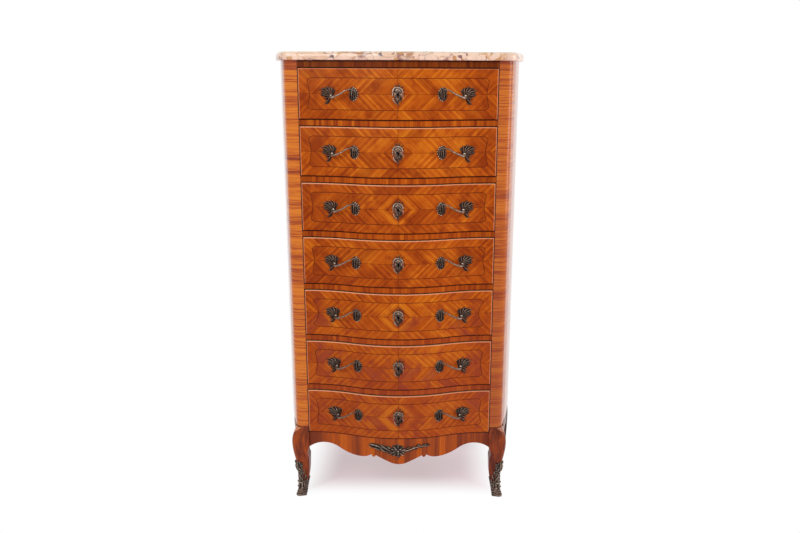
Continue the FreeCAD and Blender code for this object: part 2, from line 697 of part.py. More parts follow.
def drawer_front():
    z0 = BASE_HEIGHT + FRONT_GAP
    z1 = BASE_HEIGHT + OPENING_HEIGHT - FRONT_GAP
    front = band(-FRONT_PROUD, INNER_FACE, FRONT_HALF_WIDTH, z0, z1)
    inner_y = FRONT_Y - bow_at(FRONT_HALF_WIDTH) + INNER_FACE
    rounded = []
    for edge in front.Edges:
        middle = edge.valueAt((edge.FirstParameter + edge.LastParameter) / 2)
        outer_y = FRONT_Y - FRONT_PROUD - bow_at(middle.x)
        if abs(middle.y - outer_y) < 0.5 and inner_y > middle.y:
            if edge.BoundBox.ZLength < 0.1 or abs(middle.x) > FRONT_HALF_WIDTH - 0.1:
                rounded.append(edge)
    front = front.makeFillet(FRONT_EDGE_ROUND, rounded)
    groove_z = BASE_HEIGHT + BOTTOM_RAISE
    groove = band(INNER_FACE - GROOVE_DEPTH - GROOVE_CLEARANCE, INNER_FACE + 1,
                  BOX_HALF_WIDTH - SIDE_THICKNESS + GROOVE_DEPTH + GROOVE_CLEARANCE,
                  groove_z - GROOVE_CLEARANCE, groove_z + BOTTOM_THICKNESS + GROOVE_CLEARANCE)
    front = front.cut(groove)
    keyhole_z = BASE_HEIGHT + KEYHOLE_RISE
    for side in (-1, 1):
        for x in (OUTER_STUD_X, INNER_STUD_X):
            front = front.cut(stud_hole(side * x, keyhole_z))
    for z in (-ESCUTCHEON_PEG_RISE, ESCUTCHEON_PEG_RISE):
        front = front.cut(escutcheon_peg(keyhole_z + z, ESCUTCHEON_PEG_CLEARANCE))
    front = front.cut(lock_pocket())
    y0 = FRONT_Y - BOW - FRONT_PROUD - 1
    return front.cut(keyhole(y0, y0 + FRONT_THICKNESS, keyhole_z, KEYHOLE_WOOD_CLEARANCE))


def lock_box(spare):
    """The lock's case, or with spare the recess that holds it."""
    half = LOCK_WIDTH / 2 + spare
    y0 = FRONT_Y - BOW + INNER_FACE - LOCK_RECESS - spare
    z0 = BASE_HEIGHT + KEYHOLE_RISE - LOCK_BELOW_KEYHOLE - spare
    z1 = BASE_HEIGHT + OPENING_HEIGHT - FRONT_GAP
    return block(-half, half, y0, y0 + LOCK_THICKNESS + spare, z0, z1 + 5 * spare)


def lock_pocket():
    return lock_box(LOCK_CLEARANCE)


def bolt_blank(spare, rise):
    """The bolt, or with spare and rise the channel that it slides in."""
    half_x = BOLT_WIDTH / 2 + spare
    half_y = BOLT_THICKNESS / 2 + spare
    z1 = BASE_HEIGHT + OPENING_HEIGHT - FRONT_GAP - BOLT_TOP_SETBACK
    return block(-half_x, half_x, bolt_y() - half_y, bolt_y() + half_y, z1 - BOLT_LENGTH - spare, z1 + rise)


def drawer_lock():
    """Lock case with the bolt's channel, the keyhole and the pin that the key turns on."""
    case = lock_box(0).cut(bolt_blank(BOLT_CLEARANCE, BOLT_THROW))
    keyhole_z = BASE_HEIGHT + KEYHOLE_RISE
    y0 = FRONT_Y - BOW + INNER_FACE - LOCK_RECESS
    case = case.cut(keyhole(y0 - 1, y0 + KEY_ROOM, keyhole_z, 0))
    pin = Part.makeCylinder(KEY_PIN_RADIUS, LOCK_THICKNESS - 1, V(0, y0 + 1, keyhole_z), V(0, 1, 0))
    return case.fuse(pin)


def drawer_bolt():
    return bolt_blank(0, 0)


def drawer_box():
    """Two sides, the back and the bottom panel, as four boards."""
    z0 = BASE_HEIGHT + RUNNING_CLEARANCE
    y0 = FRONT_Y + INNER_FACE
    y1 = y0 + DRAWER_LENGTH
    inner_x = BOX_HALF_WIDTH - SIDE_THICKNESS
    groove_z = BASE_HEIGHT + BOTTOM_RAISE
    spare = GROOVE_CLEARANCE
    side = block(inner_x, BOX_HALF_WIDTH, y0, y1, z0, BASE_HEIGHT + SIDE_HEIGHT)
    side = side.cut(block(inner_x, inner_x + GROOVE_DEPTH + spare, y0, y1,
                          groove_z - spare, groove_z + BOTTOM_THICKNESS + spare))
    back_z = groove_z + BOTTOM_THICKNESS + spare
    back = block(-inner_x, inner_x, y1 - SIDE_THICKNESS, y1, back_z, BASE_HEIGHT + DRAWER_BACK_HEIGHT)
    bottom = straight_backed(INNER_FACE - GROOVE_DEPTH, y1, inner_x + GROOVE_DEPTH,
                             groove_z, groove_z + BOTTOM_THICKNESS)
    return [side, mirrored(side), back, bottom]


def escutcheon_peg(z, spare):
    y0 = FRONT_Y - BOW - FRONT_PROUD - ESCUTCHEON_THICKNESS / 2
    length = ESCUTCHEON_THICKNESS / 2 + ESCUTCHEON_PEG_LENGTH + spare
    return Part.makeCylinder(ESCUTCHEON_PEG_RADIUS + spare, length, V(0, y0, z), V(0, 1, 0))


def escutcheon():
    z = BASE_HEIGHT + KEYHOLE_RISE
    points = [(x, z + rise) for x, rise in ESCUTCHEON_OUTLINE]
    plate = cast_plate(points, ESCUTCHEON_THICKNESS, -FRONT_PROUD, BASE_HEIGHT, BASE_HEIGHT + PITCH)
    y0 = FRONT_Y - BOW - FRONT_PROUD - ESCUTCHEON_THICKNESS - 1
    plate = plate.cut(keyhole(y0, y0 + 3 * ESCUTCHEON_THICKNESS, z, 0))
    for rise in (-ESCUTCHEON_PEG_RISE, ESCUTCHEON_PEG_RISE):
        plate = plate.fuse(escutcheon_peg(z + rise, 0))
    return plate


def pull():
    """One cast pull: a large leaf outboard, a small one inboard and a bent bar between them."""
    z = BASE_HEIGHT + KEYHOLE_RISE
    leaves = []
    for outline in (LARGE_LEAF, SMALL_LEAF):
        points = [(x, z + rise) for x, rise in outline]
        leaves.append(cast_plate(points, LEAF_THICKNESS, -FRONT_PROUD, BASE_HEIGHT, BASE_HEIGHT + PITCH))
    route = []
    for x, rise, share in BAR_ROUTE:
        point, inward = stud_axis(x, z + rise)
        route.append(point - inward * (BAR_STANDOFF * share))
    spine = Part.BSplineCurve()
    spine.interpolate(route)
    path = Part.Wire([spine.toShape()])
    start = path.Edges[0]
    direction = start.tangentAt(start.FirstParameter)
    ring = Part.Wire([Part.makeCircle(BAR_RADIUS, route[0], direction)])
    bar = path.makePipeShell([ring], True, True)
    shape = leaves[0].fuse([leaves[1], bar, pull_stud(OUTER_STUD_X, z), pull_stud(INNER_STUD_X, z)])
    return shape


def raised(shape, number):
    """A copy of a bottom-drawer piece for another drawer."""
    copy = shape.copy()
    copy.translate(V(0, 0, level(number) - BASE_HEIGHT))
    return copy


def build_drawers():
    z = BASE_HEIGHT + KEYHOLE_RISE
    right_pull = pull()
    nuts = [pull_nut(x, z) for x in (OUTER_STUD_X, INNER_STUD_X)]
    right_side = [right_pull] + nuts
    pieces = {
        "front": [drawer_front()],
        "box": drawer_box(),
        "pulls": right_side + [mirrored(shape) for shape in right_side],
        "escutcheon": [escutcheon()],
        "lock": [drawer_lock()],
        "bolt": [drawer_bolt()],
    }
    for number in range(1, DRAWER_COUNT + 1):
        for name, solids in pieces.items():
            save("drawer_%d_%s" % (number, name), [raised(solid, number) for solid in solids])


def build_carcase():
    carcase = outline_prism(0, REAR_Y, 0, CARCASE_TOP)
    right_front = front_post(carcase)
    right_rear = rear_post(carcase)
    panel = side_panel()
    apron = side_apron()
    shoe = sabot()
    save("front_post_right", [right_front])
    save("front_post_left", [mirrored(right_front)])
    save("rear_post_right", [right_rear])
    save("rear_post_left", [mirrored(right_rear)])
    save("side_panel_right", [panel])
    save("side_panel_left", [mirrored(panel)])
    save("side_aprons", [apron, mirrored(apron)])
    save("sabots", [shoe, mirrored(shoe)])
    save("front_rails", front_rails())
    save("rear_rails", rear_rails())
    save("drawer_runners", drawer_runners())
    save("drawer_stops", drawer_stops())
    save("front_apron", [front_apron()])
    save("apron_mount", [apron_mount()])
    save("back_panel", [back_panel()])
    save("top_board", [top_board()])
    save("bottom_board", [bottom_board()])
    save("marble_top", [marble_top()])


os.makedirs("parts", exist_ok=True)
build_carcase()
build_drawers()
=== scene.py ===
import math

import bmesh
import bpy
from mathutils import Matrix, Vector


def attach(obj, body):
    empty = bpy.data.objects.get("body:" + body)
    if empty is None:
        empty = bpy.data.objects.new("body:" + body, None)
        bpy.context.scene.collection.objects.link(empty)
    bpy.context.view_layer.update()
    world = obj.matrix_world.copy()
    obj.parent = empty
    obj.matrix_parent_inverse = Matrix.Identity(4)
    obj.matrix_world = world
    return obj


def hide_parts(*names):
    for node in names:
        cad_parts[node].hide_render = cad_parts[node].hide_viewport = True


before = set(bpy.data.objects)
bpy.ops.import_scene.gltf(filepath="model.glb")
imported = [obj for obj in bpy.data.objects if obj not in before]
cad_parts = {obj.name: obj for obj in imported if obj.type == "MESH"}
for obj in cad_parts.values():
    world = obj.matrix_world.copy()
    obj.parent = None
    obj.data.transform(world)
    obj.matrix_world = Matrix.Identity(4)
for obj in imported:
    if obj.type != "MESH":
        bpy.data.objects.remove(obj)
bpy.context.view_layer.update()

bl_info = {
    "name": "Serpentine tall chest",
    "version": (1, 0, 0),
    "blender": (4, 5, 0),
    "location": "View3D > Sidebar > Tall chest",
    "description": "Dresses a tall serpentine chest of drawers in veneer, marble and cast bronze",
    "category": "Object",
}

# ---------------------------------------------------------------- sizes of the chest, in metres

DRAWERS = range(1, 8)
OPENING_HEIGHT = 0.149
PITCH = 0.168
BASE_HEIGHT = 0.2355
FRIEZE_BOTTOM = 1.3925
SHOULDER_HEIGHT = 0.252
HALF_OPENING = 0.295
QUARTER_OPENING = HALF_OPENING / 2
BOW = 0.050
SERPENTINE_RADIUS = (QUARTER_OPENING**2 + (BOW / 2)**2) / BOW
FRONT_Y = -0.14575
FRONT_PROUD = 0.003
FRONT_THICKNESS = 0.024
FRONT_GAP = 0.0012
FRONT_HALF_WIDTH = HALF_OPENING - FRONT_GAP
FRONT_HALF_HEIGHT = OPENING_HEIGHT / 2 - FRONT_GAP
FRONT_EDGE_ROUND = 0.0025
FRONT_CUTS = 56
KEYHOLE_RISE = OPENING_HEIGHT / 2

# the recess for a lock in the back of a drawer front, and how far it reaches below the keyhole
RECESS_DEPTH = 0.0092
RECESS_HALF_WIDTH = 0.0252
RECESS_DROP = 0.0182

# the side panels' middle, and half the size of their quartered field
SIDE_MIDDLE_Y = 0.0353
SIDE_MIDDLE_Z = 0.836
SIDE_FIELD_HALF_DEPTH = 0.094
SIDE_FIELD_HALF_HEIGHT = 0.545

# where the castings sit: the pulls' two leaves, the escutcheon's face and the apron's spray
OUTER_LEAF_X = 0.195
OUTER_LEAF_RISE = -0.005
INNER_LEAF_X = 0.131
BAR_STANDOFF = 0.0205
ESCUTCHEON_FACE = 0.0041
SPRAY_HEIGHT = 0.1955

# the front legs' outer corner
LEG_ROUND = 0.013
POST_OUTER = 0.3327
# height, how far the leg's outer and front faces stand out from those of the post at the toe's
# corner, and the slope at which both faces draw back from that corner
LEG_FACES = ((0.0, 0.0105, 0.003, 0.30), (0.031, 0.005, -0.0015, 0.27), (0.066, 0.003, -0.0035, 0.21),
             (0.097, 0.006, -0.001, 0.125), (0.140, 0.0125, 0.006, 0.07))

SAME_PLACE = 1e-6

# edges that turn by more than this many degrees stay sharp
SHARP = 40
CASTING_SHARP = 60


def bow_at(x):
    """How far the serpentine stands forward of the stiles at x."""
    x = abs(x)
    if x <= QUARTER_OPENING:
        return BOW - SERPENTINE_RADIUS + math.sqrt(SERPENTINE_RADIUS**2 - x**2)
    if x < HALF_OPENING:
        return SERPENTINE_RADIUS - math.sqrt(SERPENTINE_RADIUS**2 - (HALF_OPENING - x)**2)
    return 0.0


def slope_at(x):
    """Angle by which the serpentine's outward normal turns towards +X at x."""
    if abs(x) <= QUARTER_OPENING:
        return math.asin(x / SERPENTINE_RADIUS)
    return math.copysign(math.asin(max(0.0, HALF_OPENING - abs(x)) / SERPENTINE_RADIUS), x)


def drawer_middle(number):
    """Height of the middle of a drawer; number 1 is the top one."""
    return BASE_HEIGHT + (DRAWERS[-1] - number) * PITCH + KEYHOLE_RISE


def linear(code):
    """A colour written as six hexadecimal digits, in the renderer's linear values."""
    parts = [int(code[i:i + 2], 16) / 255 for i in (0, 2, 4)]
    return tuple(c / 12.92 if c <= 0.04045 else ((c + 0.055) / 1.055)**2.4 for c in parts)


# ---------------------------------------------------------------- what a user would change

def colour_property(name, description, code):
    return bpy.props.FloatVectorProperty(name=name, description=description, default=linear(code),
                                         subtype="COLOR", size=3, min=0, max=1)


def length_property(name, description, default):
    return bpy.props.FloatProperty(name=name, description=description, default=default,
                                   unit="LENGTH", subtype="DISTANCE", min=0)


def number_property(name, description, default):
    return bpy.props.FloatProperty(name=name, description=description, default=default)


def angle_property(name, description, default):
    return bpy.props.FloatProperty(name=name, description=description, default=default,
                                   unit="ROTATION", subtype="ANGLE")


def power_property(name, description, default):
    return bpy.props.FloatProperty(name=name, description=description, default=default,
                                   unit="POWER", subtype="POWER")


class ChestVeneers(bpy.types.PropertyGroup):
    light: colour_property("Light strips", "Palest veneer in the marquetry", "dd8018")
    middle: colour_property("Middle strips", "Most common veneer", "b9560a")
    # dark is also painted on the stiles as shade, under the marble's overhang and over the right stile
    dark: colour_property("Dark strips", "Darkest veneer in the marquetry", "8a3304")
    red: colour_property("Red strips", "Reddish heartwood", "96402a")
    # line is real stringing and joints, and also the painted shade in the gaps round the drawer fronts,
    # at their feet, beside the openings and over the apron's top
    line: colour_property("Lines", "Stringing and open joints", "481402")
    # edge is the colour of painted highlights, on the top and end edges of the drawer fronts and on the
    # legs' shoulders
    edge: colour_property("Painted edge highlights", "Painted highlights on the edges of the drawer fronts", "fbb288")
    leg: colour_property("Legs", "Darker wood of the legs", "7c3414")
    oak: colour_property("Oak", "Plain wood inside and at the back", "ba9264")
    strip_width: length_property("Strip width", "Width of the marquetry strips", 0.0074)
    field_height: length_property("Field height", "Half the height of the outlined field", 0.0455)
    field_width: length_property("Field width", "Half the width of the outlined field", 0.267)


class ChestStone(bpy.types.PropertyGroup):
    ground: colour_property("Ground", "Main colour of the marble", "f2d5bb")
    rose: colour_property("Rose", "Pink patches", "ad7a6e")
    ochre: colour_property("Ochre", "Yellow patches", "d09a58")
    grey: colour_property("Grey", "Violet grey patches", "614c58")
    patch_size: length_property("Patch size", "Size of the larger patches", 0.038)


class ChestMetal(bpy.types.PropertyGroup):
    hollow: colour_property("Hollows", "Bronze in the hollows", "281a12")
    bronze: colour_property("Bronze", "Toned bronze between the hollows and the high parts", "7c6456")
    rubbed: colour_property("Rubbed", "Rubbed metal on the high parts", "beae9e")
    iron: colour_property("Iron", "Locks and bolts", "5a5652")
    rust: colour_property("Rust", "Rust on the locks and bolts", "5a3018")
    relief: length_property("Relief", "Height of the leaves over the wood", 0.0075)
    bar: length_property("Bar radius", "Radius of the bars of the pulls", 0.0029)


class ChestStudio(bpy.types.PropertyGroup):
    floor: colour_property("Floor", "Colour of the floor", "f8d4e4")
    camera_side: length_property("Camera side", "How far the camera stands to the right", 0.06)
    camera_height: length_property("Camera height", "Height of the camera", 1.387)
    camera_distance: length_property("Camera distance", "From the camera to the stiles' front", 2.341)
    pitch: angle_property("Pitch", "How far the camera looks down", math.radians(14.19))
    roll: angle_property("Roll", "How far the camera leans to its left", 0.004)
    lens: number_property("Lens", "Focal length in millimetres", 35.0)
    shift: number_property("Shift", "Sideways shift of the view, as a share of its width", -0.0225)
    key: power_property("Key lamp", "Power of the front lamp", 40.0)
    side: power_property("Side lamp", "Power of the lamp on the right", 32.0)
    top: power_property("Top lamp", "Power of the overhead lamp", 3.0)
    fill: number_property("Fill", "Strength of the light from all round", 0.5)


# ---------------------------------------------------------------- shader maths

class Value:
    """A quantity that varies over a surface. Arithmetic on it adds the nodes that work it out."""

    def __init__(self, finish, socket):
        self.finish = finish
        self.socket = socket

    def math(self, operation, *others):
        inputs = dict(enumerate((self,) + others))
        return self.finish.node("ShaderNodeMath", {"operation": operation}, inputs)

    def __add__(self, other):
        return self.math("ADD", other)

    def __mul__(self, other):
        return self.math("MULTIPLY", other)

    def __sub__(self, other):
        return self.math("SUBTRACT", other)

    def __truediv__(self, other):
        return self.math("DIVIDE", other)

    def __rsub__(self, other):
        return self * -1.0 + other

    def __pow__(self, other):
        return self.math("POWER", other)

    def __abs__(self):
        return self.math("ABSOLUTE")

    def __lt__(self, other):
        return self.math("LESS_THAN", other)

    def __gt__(self, other):
        return self.math("GREATER_THAN", other)

    __radd__ = __add__
    __rmul__ = __mul__

    def floor(self):
        return self.math("FLOOR")

    def fraction(self):
        return self.math("FRACT")

    def least(self, other):
        return self.math("MINIMUM", other)

    def most(self, other):
        return self.math("MAXIMUM", other)

    def root(self):
        return self.math("SQRT")

    def ramp(self, low, high):
        """0 below low and 1 above high, smooth between; the other way round if low is the larger."""
        settings = {"interpolation_type": "SMOOTHSTEP"}
        if low > high:
            inputs = {"Value": self, "From Min": high, "From Max": low, "To Min": 1.0, "To Max": 0.0}
        else:
            inputs = {"Value": self, "From Min": low, "From Max": high, "To Min": 0.0, "To Max": 1.0}
        return self.finish.node("ShaderNodeMapRange", settings, inputs)


class Finish:
    """A material, or the world's surround, in the making."""

    def __init__(self, name, kind="materials"):
        self.owner = getattr(bpy.data, kind).new(name)
        self.owner.use_nodes = True
        self.tree = self.owner.node_tree
        self.tree.nodes.clear()

    def node(self, kind, settings, inputs, output=0):
        """Add a node; settings come first, then values or links for its inputs."""
        node = self.tree.nodes.new(kind)
        for key, value in settings.items():
            if key == "stops":
                ramp = node.color_ramp
                while len(ramp.elements) < len(value):
                    ramp.elements.new(0.5)
                for element, (position, colour) in zip(ramp.elements, value):
                    element.position = position
                    element.color = (*colour, 1)
            else:
                setattr(node, key, value)
        for key, value in inputs.items():
            if isinstance(value, Value):
                self.tree.links.new(value.socket, node.inputs[key])
            elif node.inputs[key].type == "RGBA" and len(value) == 3:
                node.inputs[key].default_value = (*value, 1)
            else:
                node.inputs[key].default_value = value
        return Value(self, node.outputs[output]) if node.outputs else None

    def place(self):
        """Position on the object, as a vector and as its x, y and z."""
        vector = self.node("ShaderNodeTexCoord", {}, {}, "Object")
        split = [self.node("ShaderNodeSeparateXYZ", {}, {0: vector}, axis) for axis in "XYZ"]
        return [vector] + split

    def vector(self, x, y, z):
        return self.node("ShaderNodeCombineXYZ", {}, {0: x, 1: y, 2: z})

    def noise(self, vector, scale, detail):
        inputs = {"Vector": vector, "Scale": scale, "Detail": detail, "Roughness": 0.55}
        return self.node("ShaderNodeTexNoise", {"noise_dimensions": "3D"}, inputs, "Fac")

    def cells(self, vector, scale, feature, output):
        inputs = {"Vector": vector, "Scale": scale}
        return self.node("ShaderNodeTexVoronoi", {"feature": feature}, inputs, output)

    def chance(self, x, y):
        """A number from 0 to 1 that is fixed for each x and y."""
        return self.node("ShaderNodeTexWhiteNoise", {"noise_dimensions": "3D"},
                         {"Vector": self.vector(x, y, 0.0)}, "Value")

    def colours(self, factor, stops):
        return self.node("ShaderNodeValToRGB", {"stops": stops}, {"Fac": factor}, "Color")

    def blend(self, factor, first, second, mode="MIX"):
        settings = {"data_type": "RGBA", "blend_type": mode, "clamp_factor": True}
        return self.node("ShaderNodeMix", settings, {0: factor, 6: first, 7: second}, 2)

    def shade(self, colour, amount):
        """The colour made darker or lighter by a factor that varies."""
        grey = self.node("ShaderNodeCombineColor", {}, {0: amount, 1: amount, 2: amount})
        return self.blend(1.0, colour, grey, "MULTIPLY")

    def bump(self, height, distance, strength):
        inputs = {"Height": height, "Distance": distance, "Strength": strength}
        return self.node("ShaderNodeBump", {}, inputs, "Normal")

    def background_seen(self):
        """1 on rays from the camera, off a polished surface or through glass, and 0 on others."""
        camera, glossy, through = (self.node("ShaderNodeLightPath", {}, {}, "Is %s Ray" % kind)
                                   for kind in ("Camera", "Glossy", "Transmission"))
        return camera.most(glossy).most(through)

    def surface(self, inputs):
        """Finish the material with a Principled surface."""
        shader = self.node("ShaderNodeBsdfPrincipled", {}, inputs, "BSDF")
        self.node("ShaderNodeOutputMaterial", {}, {"Surface": shader})
        return self.owner


def polished(finish, colour, grain, roughness=0.38, coat=0.03, shine=0.08):
    """French-polished wood over a grain height."""
    cloud = finish.noise(finish.place()[0], 9.0, 2.0)
    return finish.surface({
        "Base Color": colour,
        "Roughness": cloud * 0.12 + roughness,
        "Specular IOR Level": shine,
        "Coat Weight": coat,
        "Coat Roughness": 0.12,
        "Normal": finish.bump(grain, 0.0002, 0.5),
    })


def wood_streaks(finish, along, across, fine, seed):
    """Grain that runs with along: fine lines and pores that change across it."""
    wide = finish.noise(finish.vector(across * fine * 0.22, along * 3.0, seed), 1.0, 3.0)
    thin = finish.noise(finish.vector(across * fine, along * 14.0, seed), 1.0, 2.0)
    return wide * 0.55 + thin * 0.45


# rows are whole numbers from the foot, and only the top drawer's lies above this
TOP_ROW = 5.5


def row_and_rise(z):
    """The row of drawers at a height, 0 for the lowest, and how far above its opening's foot."""
    row = ((z - BASE_HEIGHT) / PITCH).floor()
    return row, z - BASE_HEIGHT - row * PITCH


def field_edge(veneers, side, up, row):
    """Distance beyond the field's outline, a rectangle with round corners and drawn-in ends."""
    corner = 0.014
    notch_half_height = 0.034
    notch_depth = 0.006
    deeper = 0.010
    deeper_row = 2.0
    notch = (1.0 - (up / notch_half_height) ** 2.0).most(0.0)
    drawn_in = notch * ((abs(row - deeper_row) < 0.5) * deeper + notch_depth)
    past_end = side + drawn_in - (veneers.field_width - corner)
    past_top = up - (veneers.field_height - corner)
    beyond_end = past_end.most(0.0)
    beyond_top = past_top.most(0.0)
    beyond = (beyond_end * beyond_end + beyond_top * beyond_top).root()
    return beyond + past_end.most(past_top).least(0.0) - corner


def keyhole_diamond(lozenge, row, inside):
    """A brighter diamond round the keyhole of every other drawer, between dark strips."""
    radius = 0.036
    half_width = 0.011
    strip_offset = 0.013
    ring = abs(lozenge - radius)
    bright = ring.ramp(half_width, 0.008) * 0.22
    strips = (abs(ring - strip_offset) < 0.0035) * 0.2
    every_other = (row * 0.5).fraction() < 0.25
    return (bright - strips) * inside * every_other * ((row < TOP_ROW) * 0.8 + 0.2)


def painted_rim_light(f, veneers, colour, x, rise, row):
    """The edges of a drawer front: painted highlights at the top and the ends, painted shadow at the
    foot, and painted shade in the gap round the rim.
    """
    from_side = FRONT_HALF_WIDTH - abs(x)
    rim = from_side.least(FRONT_HALF_HEIGHT - abs(rise))
    # painted highlight on the top edge, as if light from above caught the rounded rim; fainter on the
    # top drawer, under the marble, and towards the right
    top = (FRONT_HALF_HEIGHT - rise).ramp(0.0042, 0.0018) * ((row < TOP_ROW) * 0.65 + 0.3)
    top = top * (1.0 - x.ramp(-0.1, 0.2) * 0.3)
    # painted highlight on the ends, and painted shadow along the foot
    ends = from_side.ramp(0.0036, 0.0016) * 0.55
    foot = (FRONT_HALF_HEIGHT + rise).ramp(0.004, 0.001) * 0.35
    colour = f.blend(foot, colour, veneers.line)
    colour = f.blend(top.most(ends), colour, veneers.edge)
    # the outermost rim is painted dark, as the shade in the gap round the front
    return f.blend(rim.ramp(0.0010, 0.0003), colour, f.shade(veneers.line, 0.5))


def marquetry_material(veneers):
    """Diagonal strips in four mirrored quarters, inside and outside an outlined field."""
    f = Finish("drawer_marquetry")
    vector, x, _, z = f.place()
    side = abs(x)
    row, above = row_and_rise(z)
    rise = above - KEYHOLE_RISE
    up = abs(rise)
    edge = field_edge(veneers, side, up, row)
    inside = edge < 0.0
    outside = 1.0 - inside

    # the strips slant one way inside the field and the other way outside it
    diagonal = 0.7071
    group_width = 0.027
    lozenge = (side + up) * diagonal
    chevron = (side - up) * diagonal
    across = lozenge * inside + chevron * outside
    along = chevron * inside + lozenge * outside
    seed = row * 3.7 + (x > 0.0) * 11.3 + (rise > 0.0) * 23.9 + inside * 41.1
    wander = f.noise(f.vector(across * 42.0, seed, 0.0), 1.0, 1.0) * 0.011
    count = (across + wander) / veneers.strip_width
    strip = count.floor()
    parity = (strip * 0.5).fraction() * 2.0
    tone = f.chance(strip, seed) * 0.55 + parity * 0.45
    group = (across / group_width + seed).floor()
    mood = f.chance(group, seed + 5.0)

    # tone: strips, groups of strips, grain, clouds, and a little duller towards the ends
    cloud = f.noise(vector, 6.5, 2.0)
    blotch = f.noise(vector, 34.0, 3.0)
    streaks = wood_streaks(f, along, across, 1300.0, seed + strip)
    grain = (streaks - 0.5) * 0.75 + (cloud - 0.5) * 0.9 + (blotch - 0.5) * 0.7
    dull = side.ramp(0.17, 0.28) * 0.12 + (abs(row - 3.5) < 1.0) * 0.08
    shade = (tone - 0.5) * 0.34 + (mood - 0.5) * 0.14 + grain - dull
    colour = f.colours(shade + keyhole_diamond(lozenge, row, inside) + 0.49,
                       [(0.05, veneers.dark), (0.45, veneers.middle), (0.95, veneers.light)])

    # heartwood: single groups, blotches, the lower drawers and some ends of the field
    redness = (f.chance(group, seed + 9.0) > 0.84) * 0.4 + (0.48 - blotch).most(0.0) * 2.2
    low = z.ramp(0.75, 0.3) * 0.3
    ends = ((row * 0.37).fraction() + 0.2).least(0.8) * side.ramp(0.2, 0.27) * inside * 0.6
    heartwood = f.blend(z.ramp(0.85, 0.5), veneers.dark, veneers.red)
    colour = f.blend((redness + low + ends).least(0.8), colour, heartwood)

    # dark joints between the strips, the field's outline and the seams between the quarters
    gap = (0.5 - abs(count.fraction() - 0.5)) * veneers.strip_width
    joint = gap.ramp(0.0006, 0.0001) * 0.4
    outline = abs(edge).ramp(0.0016, 0.0006) * 0.8
    quarter = side.least(up).ramp(0.0012, 0.0003) * 0.6
    marks = joint.most(outline).most(quarter)
    colour = f.blend(marks, colour, veneers.line)
    return polished(f, painted_rim_light(f, veneers, colour, x, rise, row), streaks - marks * 0.6)


def rail_material(veneers):
    """Cross-banding with upright grain; the frieze and the ends of the rails are darker."""
    f = Finish("rail_veneer")
    _, x, _, z = f.place()
    piece_width = 0.009
    row, rise = row_and_rise(z)
    wander = f.noise(f.vector(x * 30.0, row, 0.0), 1.0, 1.0) * 0.02
    piece = ((x + wander) / piece_width).floor()
    streaks = wood_streaks(f, z, x, 1100.0, row)
    tone = f.chance(piece, row) * 0.5 + f.noise(f.vector(x * 11.0, row, 3.0), 1.0, 2.0) * 0.7
    shade = tone + (streaks - 0.5) * 1.3 - 0.24
    colour = f.colours(shade, [(0.0, veneers.dark), (0.5, veneers.middle), (1.0, veneers.light)])
    colour = f.blend(z.ramp(0.8, 0.35) * 0.45, colour, veneers.red)
    frieze = z > FRIEZE_BOTTOM - 0.001
    darker = frieze * 0.8 + abs(x).ramp(0.14, 0.3) * 0.25
    colour = f.blend(darker.least(0.9), colour, f.shade(colour, 0.16 + streaks * 0.3))
    # painted shade: a dark band along the edges of the drawer openings, for the gaps round the fronts
    mouth = (rise - OPENING_HEIGHT).least(PITCH - rise)
    colour = f.blend(mouth.ramp(0.0022, 0.0010), colour, f.shade(veneers.line, 0.5))
    return polished(f, colour, streaks)


